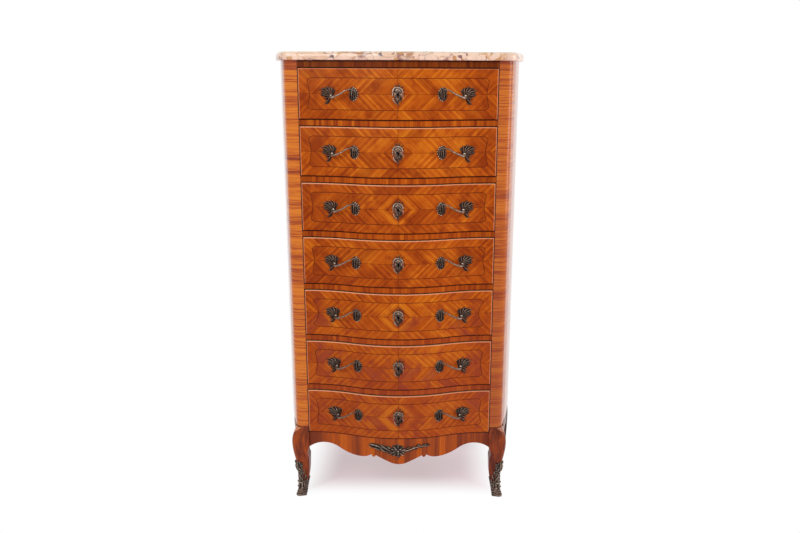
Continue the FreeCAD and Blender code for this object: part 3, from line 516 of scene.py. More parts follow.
def stile_material(veneers):
    """Level cross-grain on the stiles and darker upright grain on the legs."""
    f = Finish("stile_veneer")
    piece_height = 0.052
    vector, x, y, z = f.place()
    side = x > 0.0
    level = wood_streaks(f, x + y, z, 700.0, side * 7.0)
    bands = f.noise(f.vector(z * 26.0, side * 5.0, 0.0), 1.0, 3.0)
    fine = f.noise(f.vector(z * 260.0, side * 5.0, (x + y) * 10.0), 1.0, 3.0)
    piece = f.chance(((z + bands * 0.03) / piece_height).floor(), side) * 0.3
    shade = (bands - 0.5) * 2.6 + (fine - 0.5) * 2.9 + (level - 0.5) * 1.4 + piece
    shade = shade + z.ramp(0.9, 0.4) * 0.08 + 0.48
    stile = f.colours(shade, [(0.0, veneers.dark), (0.4, veneers.middle), (0.95, veneers.light)])
    stile = f.blend(z.ramp(0.75, 0.3) * (side * 0.2), stile, veneers.red)
    lines = f.noise(f.vector(z * 420.0, side * 9.0, (x + y) * 5.0), 1.0, 1.0).ramp(0.42, 0.3)
    stile = f.blend(lines * 0.45, stile, veneers.dark)
    # painted shade: the right stile darker, more so towards the foot
    stile = f.blend(side * (z.ramp(1.4, 0.2) * 0.22 + 0.2), stile, veneers.dark)
    # painted shadow of the marble's overhang at the top of the stiles
    stile = f.blend(z.ramp(1.375, 1.41) * 0.45, stile, veneers.dark)
    upright = wood_streaks(f, z, x - y, 900.0, side * 3.0)
    patches = f.noise(vector, 22.0, 2.0)
    swirl = f.noise(f.vector(x * 60.0, y * 60.0, z * 14.0), 1.0, 3.0)
    tone = (upright - 0.5) * 1.7 + (patches - 0.5) * 0.7 + (swirl - 0.5) * 1.5 - side * 0.12 + 0.54
    leg = f.colours(tone, [(0.05, veneers.line), (0.5, veneers.leg), (1.0, veneers.middle)])
    # painted shade: below the shoulder, everything behind the front legs is darkened, the rear legs and
    # the back of the side aprons
    rear_leg = y > -0.05
    leg = f.blend(rear_leg * 0.75, leg, f.shade(veneers.leg, 0.12))
    # painted highlight on the outer corner of the shoulder, in a three-sided patch where a facet would
    # catch the light; fainter on the right
    facet_x, facet_width, facet_height = 0.317, 0.024, 0.017
    reach = (abs(x) - facet_x) / facet_width
    under = (z - SHOULDER_HEIGHT + reach * facet_height).ramp(0.0, 0.002)
    facet_highlight = under * (reach > 0.0) * (y < -0.11)
    leg = f.blend(facet_highlight * (0.5 - side * 0.22), leg, veneers.edge)
    is_leg = z.ramp(SHOULDER_HEIGHT - 0.0003, SHOULDER_HEIGHT - 0.0010)
    colour = f.blend(is_leg, stile, leg)
    # a dark joint line at the shoulder, and painted shade along the stiles' edges beside the drawer
    # openings
    joint = abs(z - SHOULDER_HEIGHT).ramp(0.0018, 0.0006)
    mouth = (abs(x) - HALF_OPENING).ramp(0.0016, 0.0008) * (z > BASE_HEIGHT)
    colour = f.blend((joint * 0.75).most(mouth), colour, f.shade(veneers.line, 0.6))
    return polished(f, colour, level * (1.0 - is_leg) + upright * is_leg, 0.3, 0.55 - is_leg * 0.3)


def side_material(veneers):
    """Sides with a quartered field inside cross-banding, outlined by stringing."""
    f = Finish("side_veneer")
    _, x, y, z = f.place()
    out = abs(y - SIDE_MIDDLE_Y)
    up = abs(z - SIDE_MIDDLE_Z)
    edge = (out - SIDE_FIELD_HALF_DEPTH).most(up - SIDE_FIELD_HALF_HEIGHT)
    inside = edge < 0.0
    quarter = (y > SIDE_MIDDLE_Y) * 3.0 + (z > SIDE_MIDDLE_Z) * 7.0
    slant = out + up * 0.55
    field = wood_streaks(f, out * 0.5 - up, slant, 700.0, quarter * 0.01)
    band = wood_streaks(f, y, z, 900.0, 2.0)
    streaks = field * inside + band * (1.0 - inside)
    broad = f.noise(f.vector(slant * 26.0, quarter, 1.0), 1.0, 3.0)
    plain = f.noise(f.vector(z * 26.0, 4.0, 1.0), 1.0, 3.0)
    shade = broad * inside * 1.1 + plain * (1.0 - inside) * 1.2 + (streaks - 0.5) * 1.2 - 0.21
    colour = f.colours(shade, [(0.0, veneers.dark), (0.4, veneers.middle), (1.0, veneers.light)])
    lines = abs(edge).ramp(0.0014, 0.0005).most(out.least(up).ramp(0.0009, 0.0003) * inside)
    colour = f.blend(lines * 0.8, colour, veneers.line)
    return polished(f, colour, streaks, 0.25, 0.85 + (x < 0.0) * 0.15, 0.1)


def apron_material(veneers):
    """Upright grain in broad pieces, darker towards the legs."""
    f = Finish("apron_veneer")
    _, x, _, z = f.place()
    piece_width = 0.019
    streaks = wood_streaks(f, z, x, 800.0, 4.0)
    pieces = f.chance(((x + 0.4) / piece_width).floor(), 2.0) * 0.45
    broad = f.noise(f.vector(x * 13.0, 2.0, 0.0), 1.0, 2.0)
    shade = broad * 0.9 + pieces + (streaks - 0.5) * 1.3 - 0.34
    shade = shade - abs(x).ramp(0.2, 0.29) * 0.35 - x.ramp(0.03, 0.25) * 0.13
    colour = f.colours(shade, [(0.0, veneers.leg), (0.45, veneers.middle), (1.0, veneers.light)])
    dark = broad.ramp(0.5, 0.35) * 0.6 + abs(x).ramp(0.22, 0.29) * 0.5
    colour = f.blend(dark.least(0.8), colour, veneers.leg)
    # painted shade along the apron's top, in the gap under the lowest drawer
    mouth = (BASE_HEIGHT - z).ramp(0.0022, 0.0008)
    colour = f.blend(mouth, colour, f.shade(veneers.line, 0.7))
    return polished(f, colour, streaks, 0.38, 0.1, 0.16)


def oak_material(veneers):
    """Plain sawn and waxed oak inside the chest and at its back."""
    f = Finish("plain_oak")
    vector, x, y, z = f.place()
    streaks = wood_streaks(f, x, z + y * 0.7, 420.0, 1.0)
    pores = f.noise(f.vector(x * 60.0, (y + z) * 1500.0, 0.0), 1.0, 2.0)
    board_height = 0.2
    board = f.chance((z / board_height).floor(), 8.0)
    colour = f.shade(veneers.oak, streaks * 1.1 + board * 0.2 + 0.28)
    colour = f.blend(pores.ramp(0.6, 0.75) * 0.5, colour, f.shade(veneers.oak, 0.35))
    dirt = f.noise(vector, 5.0, 3.0)
    colour = f.blend(dirt.ramp(0.5, 0.8) * 0.35, colour, f.shade(veneers.oak, 0.4))
    return f.surface({
        "Base Color": colour,
        "Roughness": streaks * 0.2 + 0.52,
        "Normal": f.bump(streaks - pores.ramp(0.6, 0.75), 0.0004, 0.6),
    })


def marble_material(stone):
    """Brecciated marble: uneven cream, rose, ochre and grey pieces with thin veins."""
    f = Finish("variegated_marble")
    vector, x, y, z = f.place()
    warp = f.noise(vector, 14.0, 4.0)
    warp_b = f.noise(f.vector(y, z, x), 17.0, 4.0)
    bent = f.vector(x + warp * 0.05, y + warp_b * 0.05, z * 1.4 + warp * 0.04)
    scale = 1.0 / stone.patch_size
    crack = f.cells(bent, scale, "DISTANCE_TO_EDGE", "Distance")
    big = f.cells(bent, scale, "F1", "Color")
    small = f.cells(bent, scale * 2.7, "F1", "Color")
    pick = f.node("ShaderNodeSeparateColor", {}, {0: big}, 0)
    pick_small = f.node("ShaderNodeSeparateColor", {}, {0: small}, 1)
    large = f.colours(pick, [(0.0, stone.ground), (0.5, stone.ground), (0.66, stone.rose),
                             (0.8, stone.ochre), (1.0, stone.ground)])
    little = f.colours(pick_small, [(0.0, stone.ground), (0.55, stone.ground), (0.72, stone.ochre),
                                    (0.85, stone.rose), (1.0, stone.grey)])
    mixed = f.blend(f.noise(vector, 30.0, 2.0).ramp(0.42, 0.6), large, little)
    clouds = f.noise(vector, 60.0, 4.0)
    mixed = f.shade(mixed, clouds * 0.3 + 0.83)
    veins = crack.ramp(0.05, 0.0) * f.noise(vector, 12.0, 2.0).ramp(0.4, 0.6)
    mixed = f.blend(veins * 0.6, mixed, stone.grey)
    return f.surface({
        "Base Color": mixed,
        "Roughness": clouds * 0.12 + 0.14,
        "Coat Weight": 0.2,
        "Coat Roughness": 0.1,
    })


def bronze_surface(f, metal, relief):
    """Cast bronze, dark in its hollows and rubbed bright on its high parts."""
    vector, _, _, z = f.place()
    grain = f.noise(vector, 420.0, 3.0)
    spots = f.noise(vector, 150.0, 2.0)
    height = relief + (spots - 0.5) * 0.8
    colour = f.colours(height, [(0.22, metal.hollow), (0.55, metal.bronze), (0.95, metal.rubbed)])
    colour = f.shade(colour, z.ramp(0.1, 1.4) * 0.4 + 0.7)
    return f.surface({
        "Base Color": colour,
        "Metallic": 0.55 + height.ramp(0.2, 1.0) * 0.3,
        "Roughness": 0.5 - height.ramp(0.3, 1.0) * 0.14 + (grain - 0.5) * 0.2,
        "Normal": f.bump(grain + spots, 0.0005, 0.7),
    })


def bronze_material(metal):
    f = Finish("aged_bronze")
    relief = f.node("ShaderNodeAttribute", {"attribute_name": "relief"}, {}, "Fac")
    return bronze_surface(f, metal, relief)


def sabot_material(metal):
    """Bronze of the shoes: level mouldings round the toe and slanting leaf veins above them."""
    f = Finish("sabot_bronze")
    vector, x, y, z = f.place()
    vein_width = 0.011
    band_height = 0.0085
    slant = (z * 1.6 + abs(x) * 0.9 + y * 0.5 + f.noise(vector, 40.0, 2.0) * 0.02) / vein_width
    veins = abs(slant.fraction() - 0.5) * 1.6
    bands = abs((z / band_height).fraction() - 0.5) * 1.5
    toe = z.ramp(0.028, 0.022)
    return bronze_surface(f, metal, veins * (1.0 - toe) + bands * toe)


def iron_material(metal):
    """Filed iron with file marks and a little rust."""
    f = Finish("filed_iron")
    vector, x, y, z = f.place()
    marks = f.noise(f.vector(x * 900.0, y * 900.0, z * 60.0), 1.0, 2.0)
    rust = f.noise(vector, 90.0, 3.0).ramp(0.55, 0.75)
    colour = f.blend(rust * 0.7, f.shade(metal.iron, marks * 0.5 + 0.7), metal.rust)
    return f.surface({
        "Base Color": colour,
        "Metallic": 0.9 - rust * 0.7,
        "Roughness": marks * 0.2 + 0.35 + rust * 0.3,
        "Normal": f.bump(marks, 0.0002, 0.6),
    })


def keyhole_material():
    """Painted shade for the inside of a keyhole, with a little dust on its lip."""
    f = Finish("keyhole_dark")
    dark = (0.012, 0.008, 0.006)
    dust = f.noise(f.place()[0], 300.0, 2.0)
    return f.surface({
        "Base Color": f.shade(dark, dust + 0.3),
        "Roughness": 0.8,
        "Specular IOR Level": 0.0,
    })


# ---------------------------------------------------------------- mesh helpers

def dress(material, nodes):
    """Give CAD nodes a better material."""
    for node in nodes:
        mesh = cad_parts[node].data
        mesh.materials.clear()
        mesh.materials.append(material)


def finish_piece(name, bm, material, body, nodes, sharp=SHARP, second=None):
    """Turn a bmesh into a piece that rides on a body and stands for CAD nodes."""
    # points that were moved one by one leave old normals behind, which would turn faces inwards
    bm.normal_update()
    bmesh.ops.recalc_face_normals(bm, faces=bm.faces)
    mesh = bpy.data.meshes.new(name)
    bm.to_mesh(mesh)
    bm.free()
    piece = bpy.data.objects.new(name, mesh)
    bpy.context.scene.collection.objects.link(piece)
    mesh.materials.append(material)
    if second:
        mesh.materials.append(second)
    mesh.shade_smooth()
    mesh.set_sharp_from_angle(angle=math.radians(sharp))
    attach(piece, body)
    if nodes:
        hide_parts(*nodes)
    return piece


def box_mesh(x0, x1, y0, y1, z0, z1):
    bm = bmesh.new()
    bmesh.ops.create_cube(bm, size=1.0)
    bmesh.ops.scale(bm, vec=(x1 - x0, y1 - y0, z1 - z0), verts=bm.verts)
    bmesh.ops.translate(bm, vec=((x0 + x1) / 2, (y0 + y1) / 2, (z0 + z1) / 2), verts=bm.verts)
    return bm


def cut_across(bm, x):
    """Cut every face that crosses an upright plane at x."""
    geometry = bm.verts[:] + bm.edges[:] + bm.faces[:]
    bmesh.ops.bisect_plane(bm, geom=geometry, plane_co=(x, 0, 0), plane_no=(1, 0, 0))


def faces_within(bm, axis, level, x, y, z):
    """The faces that lie at a level of one axis, no further out than x and not before y or below z."""
    return [face for face in bm.faces if all(
        abs(v.co[axis] - level) < SAME_PLACE and abs(v.co.x) < x + SAME_PLACE
        and v.co.y > y - SAME_PLACE and v.co.z > z - SAME_PLACE for v in face.verts)]


def sink_lock_recess(bm, front, back, low, top):
    """Sink a recess for the lock in a front's back, open at the top where the bolt rises."""
    half = RECESS_HALF_WIDTH
    inner = back - RECESS_DEPTH
    for x in (-half, half):
        cut_across(bm, x)
    cuts = ((1, back, (0, 0, low), (0, 0, 1)), (2, top, (0, inner, 0), (0, 1, 0)))
    for axis, level, point, normal in cuts:
        face = faces_within(bm, axis, level, half, front, 0)[0]
        geometry = [face] + face.edges[:] + face.verts[:]
        bmesh.ops.bisect_plane(bm, geom=geometry, plane_co=point, plane_no=normal)
    behind = faces_within(bm, 1, back, half, back, low)
    floor = bmesh.ops.extrude_discrete_faces(bm, faces=behind)["faces"][0]
    bmesh.ops.translate(bm, vec=(0, -RECESS_DEPTH, 0), verts=floor.verts[:])
    bmesh.ops.delete(bm, geom=faces_within(bm, 2, top, half, inner, low), context="FACES")
    bmesh.ops.remove_doubles(bm, verts=bm.verts[:], dist=SAME_PLACE)


def drawer_front_mesh(number):
    """A serpentine front with a softly rounded rim and a recess for its lock."""
    middle = drawer_middle(number)
    low, top = middle - FRONT_HALF_HEIGHT, middle + FRONT_HALF_HEIGHT
    front = FRONT_Y - FRONT_PROUD
    back = front + FRONT_THICKNESS
    bm = box_mesh(-FRONT_HALF_WIDTH, FRONT_HALF_WIDTH, front, back, low, top)
    rim = [edge for edge in bm.edges if all(abs(v.co.y - front) < SAME_PLACE for v in edge.verts)]
    bmesh.ops.bevel(bm, geom=rim, offset=FRONT_EDGE_ROUND, segments=4, profile=0.5, affect="EDGES",
                    material=-1)
    sink_lock_recess(bm, front, back, middle - RECESS_DROP, top)
    veneered = front + 0.8 * FRONT_EDGE_ROUND
    for face in bm.faces:
        if all(v.co.y > veneered for v in face.verts):
            face.material_index = 1
    for k in range(1, FRONT_CUTS):
        cut_across(bm, FRONT_HALF_WIDTH * (2 * k / FRONT_CUTS - 1))
    # the front bends with the serpentine, but the lock's straight case needs a straight floor
    inner = back - RECESS_DEPTH
    for vert in bm.verts:
        straight = abs(vert.co.y - inner) < SAME_PLACE
        vert.co.y -= BOW if straight else bow_at(vert.co.x)
    return bm


# ---------------------------------------------------------------- cast bronze

def relief_layer(bm):
    """How high each point of a casting lies, from 0 in the hollows to 1 on the ribs."""
    return bm.verts.layers.float.get("relief") or bm.verts.layers.float.new("relief")


def lobe_reach(angle, lobes, waist):
    """How far a leaf reaches at an angle, and how near that angle is to the rib of a lobe."""
    reach = waist
    rib = 0.0
    for direction, length, spread in lobes:
        turn = (angle - direction + math.pi) % (2 * math.pi) - math.pi
        share = abs(turn) / spread
        if share < 1:
            lobe = waist + (length - waist) * math.cos(share * math.pi / 2) ** 0.7
            if lobe > reach:
                reach = lobe
                rib = math.cos(share * math.pi / 2)
    return reach, rib


def spread_leaf(bm, x, rise, lobes, waist, height, curl, tone, around=96, rings=14):
    """A leaf that spreads in lobes from one point; y is towards the viewer until it is laid."""
    layer = relief_layer(bm)
    made = bmesh.ops.create_uvsphere(bm, u_segments=around, v_segments=rings, radius=1.0)
    lobes = [(math.radians(direction), length, math.radians(spread))
             for direction, length, spread in lobes]
    for vert in made["verts"]:
        share = min(1.0, math.hypot(vert.co.x, vert.co.y))
        angle = math.atan2(vert.co.y, vert.co.x)
        reach, rib = lobe_reach(angle, lobes, waist)
        front = vert.co.z > 1e-6
        turned = angle + curl * share * share
        dome = math.sqrt(max(0.0, 1 - share * share))
        ribs = rib**1.5 * math.sin(math.pi * min(1.0, share * 1.05)) ** 0.6 if share > 0 else 0.0
        out = height * (0.42 * dome + 0.58 * ribs * (1 - share**8)) if front else -0.0004
        reach *= share
        vert.co = Vector((x + reach * math.cos(turned), out, rise + reach * math.sin(turned)))
        vert[layer] = tone * (0.25 + 0.75 * rib * share**0.5) * (1.0 if front else 0.2)


def blade(bm, x, rise, direction, length, width, height, bend=0.0, out=0.0008):
    """A single leaf with a raised rib, from its base in one direction; bend turns its tip."""
    layer = relief_layer(bm)
    made = bmesh.ops.create_uvsphere(bm, u_segments=16, v_segments=10, radius=1.0)
    angle = math.radians(direction)
    for vert in made["verts"]:
        a, b, c = vert.co
        reach = (a + 1) / 2
        swell = 0.45 + 0.55 * math.sin(math.pi * min(1.0, max(0.0, reach)) ** 0.8)
        rib = max(0.0, 1 - abs(b) * 1.7)
        turn = angle + bend * reach
        sideways = b * width / 2 * swell
        arch = 0.75 + 0.25 * math.sin(math.pi * reach)
        up = out + max(0.0, c) * height * (0.45 + 0.55 * rib) * arch
        vert.co = Vector((x + length * reach * math.cos(turn) - sideways * math.sin(turn), up,
                          rise + length * reach * math.sin(turn) + sideways * math.cos(turn)))
        vert[layer] = 0.12 + 0.88 * rib * min(1.0, 0.35 + reach) if c > 0 else 0.0


def rod(bm, route, around, bright=0.8):
    """A round bar through points given as (x, out, rise, radius), closed at both ends."""
    layer = relief_layer(bm)
    centres = [Vector(point[:3]) for point in route]
    ring = bmesh.ops.create_circle(bm, segments=around, radius=1.0, cap_ends=False)["verts"]
    edges = list({edge for vert in ring for edge in vert.link_edges})
    shape = [vert.co.copy() for vert in ring]
    bmesh.ops.edgeloop_fill(bm, edges=edges)
    last = []
    for k, centre in enumerate(centres):
        radius = route[k][3]
        ahead = centres[min(k + 1, len(centres) - 1)] - centres[max(k - 1, 0)]
        turn = ahead.to_track_quat("Z", "Y")
        if last:
            made = bmesh.ops.extrude_edge_only(bm, edges=edges)["geom"]
            verts = [item for item in made if isinstance(item, bmesh.types.BMVert)]
            edges = [item for item in made if isinstance(item, bmesh.types.BMEdge)
                     and all(v in verts for v in item.verts)]
            # the new points start on the last ring's, and are sorted into its order
            ring = [min(verts, key=lambda v: (v.co - spot).length) for spot in last]
        for vert, corner in zip(ring, shape):
            vert.co = centre + turn @ (corner * radius)
            vert[layer] = bright * (0.55 + 0.45 * max(0.0, (vert.co.y - centre.y) / radius))
        last = [vert.co.copy() for vert in ring]
    bmesh.ops.edgeloop_fill(bm, edges=edges)


def smooth_route(points, steps=5):
    """More points on a smooth line through the given ones."""
    ends = [Vector(point) for point in (points[0], *points, points[-1])]
    route = []
    for a, b, c, d in zip(ends, ends[1:], ends[2:], ends[3:]):
        for k in range(steps):
            t = k / steps
            route.append((b * 2 + (c - a) * t + (a * 2 - b * 5 + c * 4 - d) * t * t
                          + (b * 3 - a - c * 3 + d) * t**3) / 2)
    return route + [ends[-1]]


def bead(bm, x, out, rise, radius):
    """A small round bead."""
    layer = relief_layer(bm)
    made = bmesh.ops.create_uvsphere(bm, u_segments=10, v_segments=8, radius=radius)
    for vert in made["verts"]:
        vert[layer] = 0.4 + 0.6 * max(0.0, -vert.co.y / radius)
        vert.co = Vector((x + vert.co.x, out - vert.co.y, rise + vert.co.z))


def lay_on_front(bm, middle, proud, side=1):
    """Carry a casting drawn flat onto the serpentine front; side -1 gives the mirrored one."""
    for vert in bm.verts:
        x, out, rise = vert.co
        x *= side
        slope = slope_at(x)
        face = FRONT_Y - proud - bow_at(x)
        vert.co = Vector((x + out * math.sin(slope), face - out * math.cos(slope), middle + rise))


def joined(meshes):
    """One bmesh that holds all the given ones."""
    whole = bmesh.new()
    relief_layer(whole)
    for bm in meshes:
        mesh = bpy.data.meshes.new("part")
        bm.to_mesh(mesh)
        bm.free()
        whole.from_mesh(mesh)
        bpy.data.meshes.remove(mesh)
    return whole


def pull_mesh(metal, middle, side):
    """A pull of the right side: a large leaf outboard, a small one inboard and a bar between."""
    bm = bmesh.new()
    high = metal.relief
    outer = (OUTER_LEAF_X, OUTER_LEAF_RISE)
    backing = [(122, 0.022, 26), (92, 0.024, 24), (64, 0.029, 24), (37, 0.036, 22), (10, 0.033, 20),
               (-22, 0.021, 22), (-52, 0.031, 20), (-100, 0.010, 30)]
    spread_leaf(bm, *outer, backing, 0.008, high * 0.4, -0.1, 0.25)
    for direction, length, width, bend in (
        (-56, 0.033, 0.0095, 0.12), (-33, 0.026, 0.008, 0.2), (-6, 0.030, 0.008, 0.3),
        (24, 0.034, 0.0085, -0.12), (46, 0.041, 0.0095, -0.38), (68, 0.036, 0.0095, -0.45),
        (90, 0.031, 0.009, -0.4), (112, 0.026, 0.008, -0.3),
    ):
        blade(bm, *outer, direction, length, width, high, bend)
    bead(bm, OUTER_LEAF_X, high * 0.7, OUTER_LEAF_RISE, 0.0042)
    oval = [(90, 0.021, 60), (0, 0.012, 70), (180, 0.0155, 70), (-90, 0.020, 60)]
    spread_leaf(bm, INNER_LEAF_X, 0.0, oval, 0.0115, high * 0.4, 0.0, 0.25, 48, 10)
    for x, rise, direction, length, width, bend in (
        (0.1325, -0.018, 88, 0.038, 0.008, 0.1), (0.1270, -0.017, 94, 0.035, 0.007, 0.0),
        (0.1215, -0.013, 102, 0.028, 0.006, -0.3), (0.1375, -0.014, 78, 0.030, 0.006, 0.35),
        (0.1180, -0.006, 112, 0.016, 0.005, -0.4),
    ):
        blade(bm, x, rise, direction, length, width, high * 0.85, bend)
    for degrees in range(103, 258, 22):
        turn = math.radians(degrees)
        bead(bm, INNER_LEAF_X + 0.0150 * math.cos(turn), 0.0022, 0.0190 * math.sin(turn), 0.0018)
    radius = metal.bar
    route = smooth_route([
        (0.199, 0.004, -0.006, radius * 1.1), (0.190, 0.0165, -0.0100, radius * 1.3),
        (0.173, BAR_STANDOFF, -0.0045, radius), (0.157, BAR_STANDOFF, 0.0030, radius * 0.8),
        (0.145, 0.0175, 0.0110, radius * 0.75), (0.133, 0.004, 0.0145, radius * 0.8),
    ])
    rod(bm, route, 12, 0.64)
    lay_on_front(bm, middle, FRONT_PROUD, side)
    return bm


def escutcheon_mesh(middle):
    """An oval shield with a keyhole, in scrolled rims and leaves."""
    bm = bmesh.new()
    body = [(90, 0.020, 60), (0, 0.012, 70), (180, 0.012, 70), (-90, 0.020, 60)]
    spread_leaf(bm, 0.0, 0.0, body, 0.011, 0.0030, 0.0, 0.6, 48, 10)
    for points in (
        ((-0.001, 0.003, 0.020, 0.0012), (-0.009, 0.004, 0.0185, 0.0020),
         (-0.0145, 0.004, 0.010, 0.0021), (-0.0150, 0.004, 0.000, 0.0016),
         (-0.0165, 0.003, -0.006, 0.0012)),
        ((-0.001, 0.003, 0.020, 0.0014), (0.008, 0.004, 0.0175, 0.0021),
         (0.0140, 0.004, 0.008, 0.0018), (0.0145, 0.004, -0.004, 0.0015),
         (0.0160, 0.003, -0.010, 0.0012)),
        ((-0.0140, 0.003, -0.010, 0.0011), (-0.0110, 0.004, -0.019, 0.0017),
         (-0.004, 0.003, -0.0255, 0.0012)),
        ((-0.009, 0.003, 0.010, 0.0010), (0.001, 0.0042, 0.0135, 0.0017),
         (0.009, 0.003, 0.008, 0.0011)),
    ):
        rod(bm, smooth_route(points, 4), 8, 0.78)
    for x, rise, direction, length, width in (
        (0.0085, -0.006, -112, 0.026, 0.0048), (0.0035, -0.009, -108, 0.020, 0.0040),
        (0.0120, -0.006, -100, 0.018, 0.0042), (-0.0070, -0.010, -78, 0.016, 0.0042),
        (0.002, 0.019, 70, 0.013, 0.0050), (-0.003, 0.019, 112, 0.011, 0.0042),
        (0.008, 0.017, 44, 0.011, 0.0042), (-0.0125, 0.012, 150, 0.007, 0.0040),
        (0.0135, 0.011, 24, 0.006, 0.0036), (0.000, -0.023, -88, 0.010, 0.0046),
    ):
        blade(bm, x, rise, direction, length, width, 0.0038)
    lay_on_front(bm, middle, FRONT_PROUD)
    return bm


def keyhole_mesh(middle):
    """Painted shade for the opening in the escutcheon: a shallow dark block in the shape of a keyhole.
    """
    radius, slot_half_width, slot_length, depth = 0.0034, 0.0016, 0.0105, 0.0012
    eye = bmesh.new()
    upright = Matrix.Rotation(math.pi / 2, 3, "X")
    bmesh.ops.create_cone(eye, cap_ends=True, cap_tris=False, segments=24,
                          radius1=radius, radius2=radius, depth=depth)
    bmesh.ops.rotate(eye, cent=(0, 0, 0), matrix=upright, verts=eye.verts)
    slot = box_mesh(-slot_half_width, slot_half_width, -depth / 2, depth / 2, -slot_length, 0.0)
    whole = joined([eye, slot])
    y = FRONT_Y - FRONT_PROUD - BOW - ESCUTCHEON_FACE
    bmesh.ops.translate(whole, vec=(0, y, middle), verts=whole.verts)
    return whole


def apron_mount_mesh():
    """A spray of leaves: a full heart, a heavy branch on the left and a thin one on the right."""
    bm = bmesh.new()
    heart = [(90, 0.020, 30), (50, 0.020, 24), (130, 0.024, 26), (10, 0.020, 26), (165, 0.026, 26),
             (-30, 0.018, 26), (-62, 0.022, 24), (-90, 0.026, 22), (-118, 0.023, 24), (-150, 0.026, 26)]
    spread_leaf(bm, -0.002, 0.000, heart, 0.012, 0.0035, 0.15, 0.2)
    blades = (
        # the heart
        (-0.002, -0.002, 90, 0.026, 0.010, 0.0), (-0.004, -0.002, 118, 0.025, 0.009, 0.3),
        (0.001, -0.002, 62, 0.024, 0.009, -0.3), (-0.006, -0.002, 148, 0.024, 0.009, 0.3),
        (0.003, -0.002, 32, 0.024, 0.009, -0.3), (-0.006, -0.003, 184, 0.022, 0.009, 0.4),
        (0.003, -0.003, -2, 0.022, 0.008, -0.4), (-0.002, -0.002, -90, 0.030, 0.009, 0.0),
        (-0.005, -0.002, -116, 0.026, 0.009, -0.3), (0.001, -0.002, -64, 0.025, 0.009, 0.3),
        (-0.007, -0.002, -146, 0.024, 0.008, -0.3), (0.004, -0.002, -36, 0.022, 0.008, 0.3),
        # the left branch
        (-0.022, -0.006, 150, 0.044, 0.013, -0.05), (-0.030, -0.008, 172, 0.036, 0.011, -0.3),
        (-0.046, 0.004, 156, 0.050, 0.013, 0.12), (-0.050, -0.002, 176, 0.036, 0.010, -0.25),
        (-0.062, 0.011, 160, 0.036, 0.011, 0.18), (-0.070, 0.006, 184, 0.030, 0.008, -0.3),
        (-0.024, 0.002, 128, 0.020, 0.009, 0.2), (-0.020, -0.008, -140, 0.018, 0.008, -0.3),
        # the right branch
        (0.022, 0.002, 50, 0.018, 0.007, -0.3), (0.026, 0.001, -30, 0.016, 0.007, 0.3),
        (0.038, 0.004, 40, 0.019, 0.007, -0.3), (0.044, 0.006, -26, 0.018, 0.006, 0.3),
        (0.056, 0.011, 52, 0.016, 0.0065, -0.3), (0.060, 0.011, 62, 0.014, 0.0060, -0.6),
        (0.062, 0.011, -24, 0.018, 0.006, 0.3), (0.074, 0.013, 38, 0.016, 0.006, -0.3),
        (0.082, 0.013, -6, 0.021, 0.006, 0.2), (0.078, 0.013, 14, 0.020, 0.0055, 0.1),
    )
    for x, rise, direction, length, width, bend in blades:
        blade(bm, x, rise, direction, length, width, 0.0055, bend)
    right = smooth_route([(0.008, 0.004, 0.002, 0.0022), (0.026, 0.005, 0.000, 0.0020),
                          (0.048, 0.005, 0.008, 0.0017), (0.074, 0.004, 0.013, 0.0014),
                          (0.094, 0.003, 0.011, 0.0010)])
    rod(bm, right, 8)
    buds = ((-0.002, -0.002, 0.0034), (-0.008, 0.004, 0.0030),
            (0.005, 0.005, 0.0026), (-0.001, -0.010, 0.0022))
    for x, rise, radius in buds:
        bead(bm, x, 0.0052, rise, radius)
    lay_on_front(bm, SPRAY_HEIGHT, 0.0)
    return bm


# ---------------------------------------------------------------- shoes of the front feet

def leg_faces(z):
    """The x of a leg's outer face, the y of its front face and their slope, at a height."""
    for low, high in zip(LEG_FACES, LEG_FACES[1:]):
        if z <= high[0]:
            break
    share = min(1.0, max(0.0, (z - low[0]) / (high[0] - low[0])))
    outer, front, slope = (a + (b - a) * share for a, b in zip(low[1:], high[1:]))
    return POST_OUTER + outer, FRONT_Y - front, slope


def lay_on_leg(bm, side):
    """Wrap a casting drawn flat round the outer front corner of a leg; positive x goes to the front."""
    for vert in bm.verts:
        along, out, z = vert.co
        outer, front, slope = leg_faces(z)
        half_angle = math.pi / 4 - math.atan(slope)
        radius = LEG_ROUND * math.tan(half_angle)
        most = math.pi / 2 - half_angle
        turn = max(-most, min(most, along / radius))
        beyond = along - turn * radius
        inwards = radius / math.sin(half_angle) * math.sqrt(0.5)
        angle = -math.pi / 4 - turn
        x = outer - inwards + (radius + out) * math.cos(angle) + beyond * math.sin(angle)
        y = front + inwards + (radius + out) * math.sin(angle) - beyond * math.cos(angle)
        vert.co = Vector((side * x, y, z))


